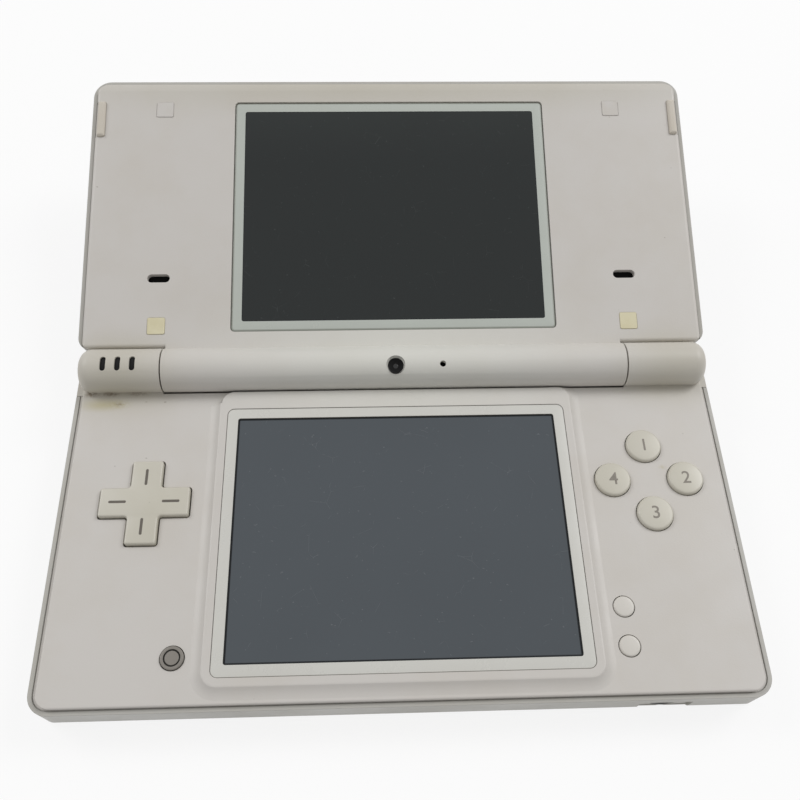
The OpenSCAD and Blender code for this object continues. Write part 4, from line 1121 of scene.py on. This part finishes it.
@dataclass
class CameraEye:
    """The inner camera's eye: a pale rim, stepped black rings and a small lens."""

    node: str = "inner_camera_window"
    rim_w: float = 0.2 * MM
    rim_rise: float = 0.8 * MM
    lens_r: float = 0.62 * MM
    lens_rise: float = 0.14 * MM
    lens_steps: int = 6
    lens_depth: float = 0.5 * MM
    rings: int = 3
    step_t: float = 0.1 * MM

    def profile(self, radius: float, thickness: float) -> Profile:
        """Gives the section of the rim, the rings and the lens.

        Args:
            radius: The eye's radius.
            thickness: The node's thickness.

        Returns:
            The points, with 0 as the height of the node's face.
        """
        inner = radius - self.rim_w
        pitch = (inner - self.lens_r) / self.rings
        points = [(0.0, -thickness), (radius, -thickness), (radius, self.rim_rise), (inner, 0.0)]
        for step in range(self.rings):
            out = inner - step * pitch
            points.append((out - 0.7 * pitch, -self.step_t * (step + 1)))
            points.append((out - 0.75 * pitch, -self.step_t * (step + 2)))
        depth = -self.step_t * (self.rings + 1)
        for step in range(self.lens_steps + 1):
            angle = step * math.pi / (2 * self.lens_steps)
            bulge = depth + self.lens_rise * math.sin(angle)
            points.append((self.lens_r * math.cos(angle), bulge))
        return points

    def build(self) -> None:
        """Builds and dresses the eye."""
        low, high = LID_AXES.extent(self.node)
        middle = centre(low, high, high.z)
        radius = (high.x - low.x) / 2
        inner = radius - self.rim_w

        def on_rim(at: Vector) -> bool:
            """Tells whether a face's middle lies on the rim."""
            return (at - middle).to_2d().length > inner and at.z > middle.z

        def on_lens(at: Vector) -> bool:
            """Tells whether a face's middle lies on the lens."""
            off = (at - middle).to_2d().length
            return off < self.lens_r and at.z > middle.z - self.lens_depth

        mould = Mould(LID_AXES)
        mould.lathe(self.profile(radius, high.z - low.z), middle)
        mould.paint(1, on_rim)
        mould.paint(2, on_lens)
        mould.cast("camera_eye", (EYE, PLATE, LENS), Body.LID.value, self.node)


@dataclass
class CoverScrews:
    """The two screws of the battery's cover, with a cross recess on each head drawn as a flat cross
    in painted shade.
    """

    node: str = "battery_cover_screws"
    head_r: float = 1.5 * MM
    head_t: float = 0.6 * MM
    shank_r: float = 0.8 * MM
    recess_l: float = 1.7 * MM
    recess_w: float = 0.42 * MM
    recess_lift: float = 0.01 * MM
    edge_r: float = 0.18 * MM
    steps: int = 40

    def build(self) -> None:
        """Builds and dresses the screws."""
        low, high = BASE_AXES.extent(self.node)
        length = high.z - low.z
        rounding = arc(self.head_r - self.edge_r, self.edge_r, self.edge_r, -90, 0, FEW_STEPS)
        seat = [(self.head_r, self.head_t), (self.shank_r, self.head_t)]
        profile = [(0.0, 0.0)] + rounding + seat + [(self.shank_r, length), (0.0, length)]
        mould = Mould(BASE_AXES)
        for x in (low.x + self.head_r, high.x - self.head_r):
            foot = Vector((x, (low.y + high.y) / 2, low.z))
            mould.lathe(profile, foot, self.steps)
            below = foot - Vector((0.0, 0.0, self.recess_lift))
            # Each cross recess is a flat cross in painted shade, just outside the head's face.
            for sides in ((self.recess_l, self.recess_w), (self.recess_w, self.recess_l)):
                mould.pane(*sides, self.recess_w / 4, below).material_index = 1
        mould.cast("cover_screws", (SCREW, GROOVE_SHADOW), Body.BASE.value, self.node)


def screens() -> list[FramedWindow]:
    """Gives the two panes.

    Returns:
        The lower touch panel and the upper window.
    """
    lower = FramedWindow(
        "touch_pane", "touch_panel", "lower_display", BASE_AXES, Body.BASE.value,
        FILM, FILM_EDGE_SHADE, LOWER_GLASS,
        corner=1.4 * MM, sink=0.32 * MM, edge_width=0.12 * MM, mask_and_shade_width=0.4 * MM,
    )
    upper = FramedWindow(
        "upper_pane", "upper_window_pane", "upper_display", LID_AXES, Body.LID.value,
        RING, RING_EDGE_SHADE, UPPER_GLASS,
        corner=0.9 * MM, sink=0.04 * MM, edge_width=0.5 * MM, mask_and_shade_width=0.2 * MM,
    )
    return [lower, upper]


def keys() -> list[RoundKey]:
    """Gives the round keys of the face.

    Returns:
        The four numbered keys, the two menu keys and the power key.
    """
    numerals = {"top": "1", "right": "2", "bottom": "3", "left": "4"}
    numbered = [NumberedKey(f"key_{place}", numeral=text) for place, text in numerals.items()]
    menu = [RoundKey(name, MENU, round_r=0.35 * MM, dome=0.06 * MM)
            for name in ("start_key", "select_key")]
    return [*numbered, *menu, PowerKey("power_key")]


def dress_nodes() -> None:
    """Dresses every CAD node by its material slot in the record."""
    slots = {part["node"]: part["material_slot"] for part in frame["record"]["subparts"]}
    for name, node in frame["nodes"].items():
        finish = NODE_FINISHES.get(name, SLOT_FINISHES[slots[name]])
        WARDROBE.dress(node, finish)
        LOG.info("dressed %s in %s", name, finish.name)


@dataclass(frozen=True)
class SoftLight:
    """A square soft light that faces the console."""

    name: str
    place: Place
    power: float
    size: float = 0.6

    def hang(self) -> None:
        """Adds the light to the scene."""
        lamp = bpy.data.lights.new(self.name, "AREA")
        lamp.size = self.size
        lamp.energy = self.power
        holder = bpy.data.objects.new(self.name, lamp)
        holder.location = self.place
        inward = Vector((0.0, 0.0, 0.0)) - Vector(self.place)
        holder.rotation_euler = inward.to_track_quat("-Z", "Y").to_euler()
        bpy.context.scene.collection.objects.link(holder)


LIGHTS = (
    SoftLight("left_light", (-1.0, 0.6, 1.0), 6.0),
    SoftLight("right_light", (0.9, 0.5, 1.0), 7.5),
)


@dataclass
class Stage:
    """The pale floor, the surround and the camera, solved from the photograph's outlines."""

    floor_size: float = 6.0
    floor_tone: float = 0.93
    floor_white: float = 0.85
    eye: Vector = field(default_factory=lambda: Vector((-6.02, -68.11, 178.93)) * MM)
    look: Vector = field(default_factory=lambda: Vector((0.035609, 0.485694, -0.873403)))
    upright: Vector = field(default_factory=lambda: Vector((0.014803, 0.873605, 0.486410)))
    lens: float = 40.48
    sensor: float = 36.0
    clip: float = 0.005
    world_level: float = 0.45
    white: float = 1.0

    def floor(self) -> None:
        """Lays the floor."""
        mesh = bmesh.new()
        bmesh.ops.create_grid(mesh, x_segments=1, y_segments=1, size=self.floor_size / 2)
        data = bpy.data.meshes.new("floor")
        mesh.to_mesh(data)
        mesh.free()
        plane = bpy.data.objects.new("floor", data)
        bpy.context.scene.collection.objects.link(plane)
        graph = Graph("floor_paper")
        sockets = {"Color": (self.floor_tone,) * 3}
        paper = graph.node("ShaderNodeBsdfDiffuse", {}, sockets, "BSDF")
        graph.shown_white(paper, self.floor_white)
        data.materials.append(graph.material)

    def world(self) -> None:
        """Sets an even pale surround that is white where it is seen or mirrored."""
        world = bpy.data.worlds.new("surround")
        world.use_nodes = True
        tree = world.node_tree
        tree.nodes.clear()
        path = tree.nodes.new("ShaderNodeLightPath")
        either = tree.nodes.new("ShaderNodeMath")
        either.operation = "ADD"
        either.use_clamp = True
        lit = tree.nodes.new("ShaderNodeBackground")
        lit.inputs["Strength"].default_value = self.world_level
        seen = tree.nodes.new("ShaderNodeBackground")
        seen.inputs["Strength"].default_value = self.white
        for shade in (lit, seen):
            shade.inputs["Color"].default_value = (1.0, 1.0, 1.0, 1.0)
        mixed = tree.nodes.new("ShaderNodeMixShader")
        out = tree.nodes.new("ShaderNodeOutputWorld")
        tree.links.new(path.outputs["Is Camera Ray"], either.inputs[0])
        tree.links.new(path.outputs["Is Glossy Ray"], either.inputs[1])
        for index, source in enumerate((either, lit, seen)):
            tree.links.new(source.outputs[0], mixed.inputs[index])
        tree.links.new(mixed.outputs[0], out.inputs[0])
        bpy.context.scene.world = world

    def camera(self) -> None:
        """Puts the camera where the photograph was taken from."""
        lens = bpy.data.cameras.new("camera")
        lens.lens = self.lens
        lens.sensor_width = self.sensor
        lens.clip_start = self.clip
        holder = bpy.data.objects.new("camera", lens)
        back = -self.look.normalized()
        right = self.upright.cross(back).normalized()
        up = back.cross(right)
        turn = Matrix((right, up, back)).transposed().to_4x4()
        holder.matrix_world = Matrix.Translation(self.eye) @ turn
        bpy.context.scene.collection.objects.link(holder)
        bpy.context.scene.camera = holder

    def build(self) -> None:
        """Sets the camera, the floor, the lights and the surround."""
        self.camera()
        self.floor()
        for light in LIGHTS:
            light.hang()
        self.world()
        bpy.context.scene.view_settings.view_transform = "Standard"


def main() -> None:
    """Builds the scene."""
    logging.basicConfig(level=logging.INFO, format="%(name)s: %(message)s")
    dress_nodes()
    for piece in (*screens(), *keys(), DirectionPad(), CameraEye(), CoverScrews()):
        piece.build()
    Stage().build()


if __name__ == "__main__":
    main()
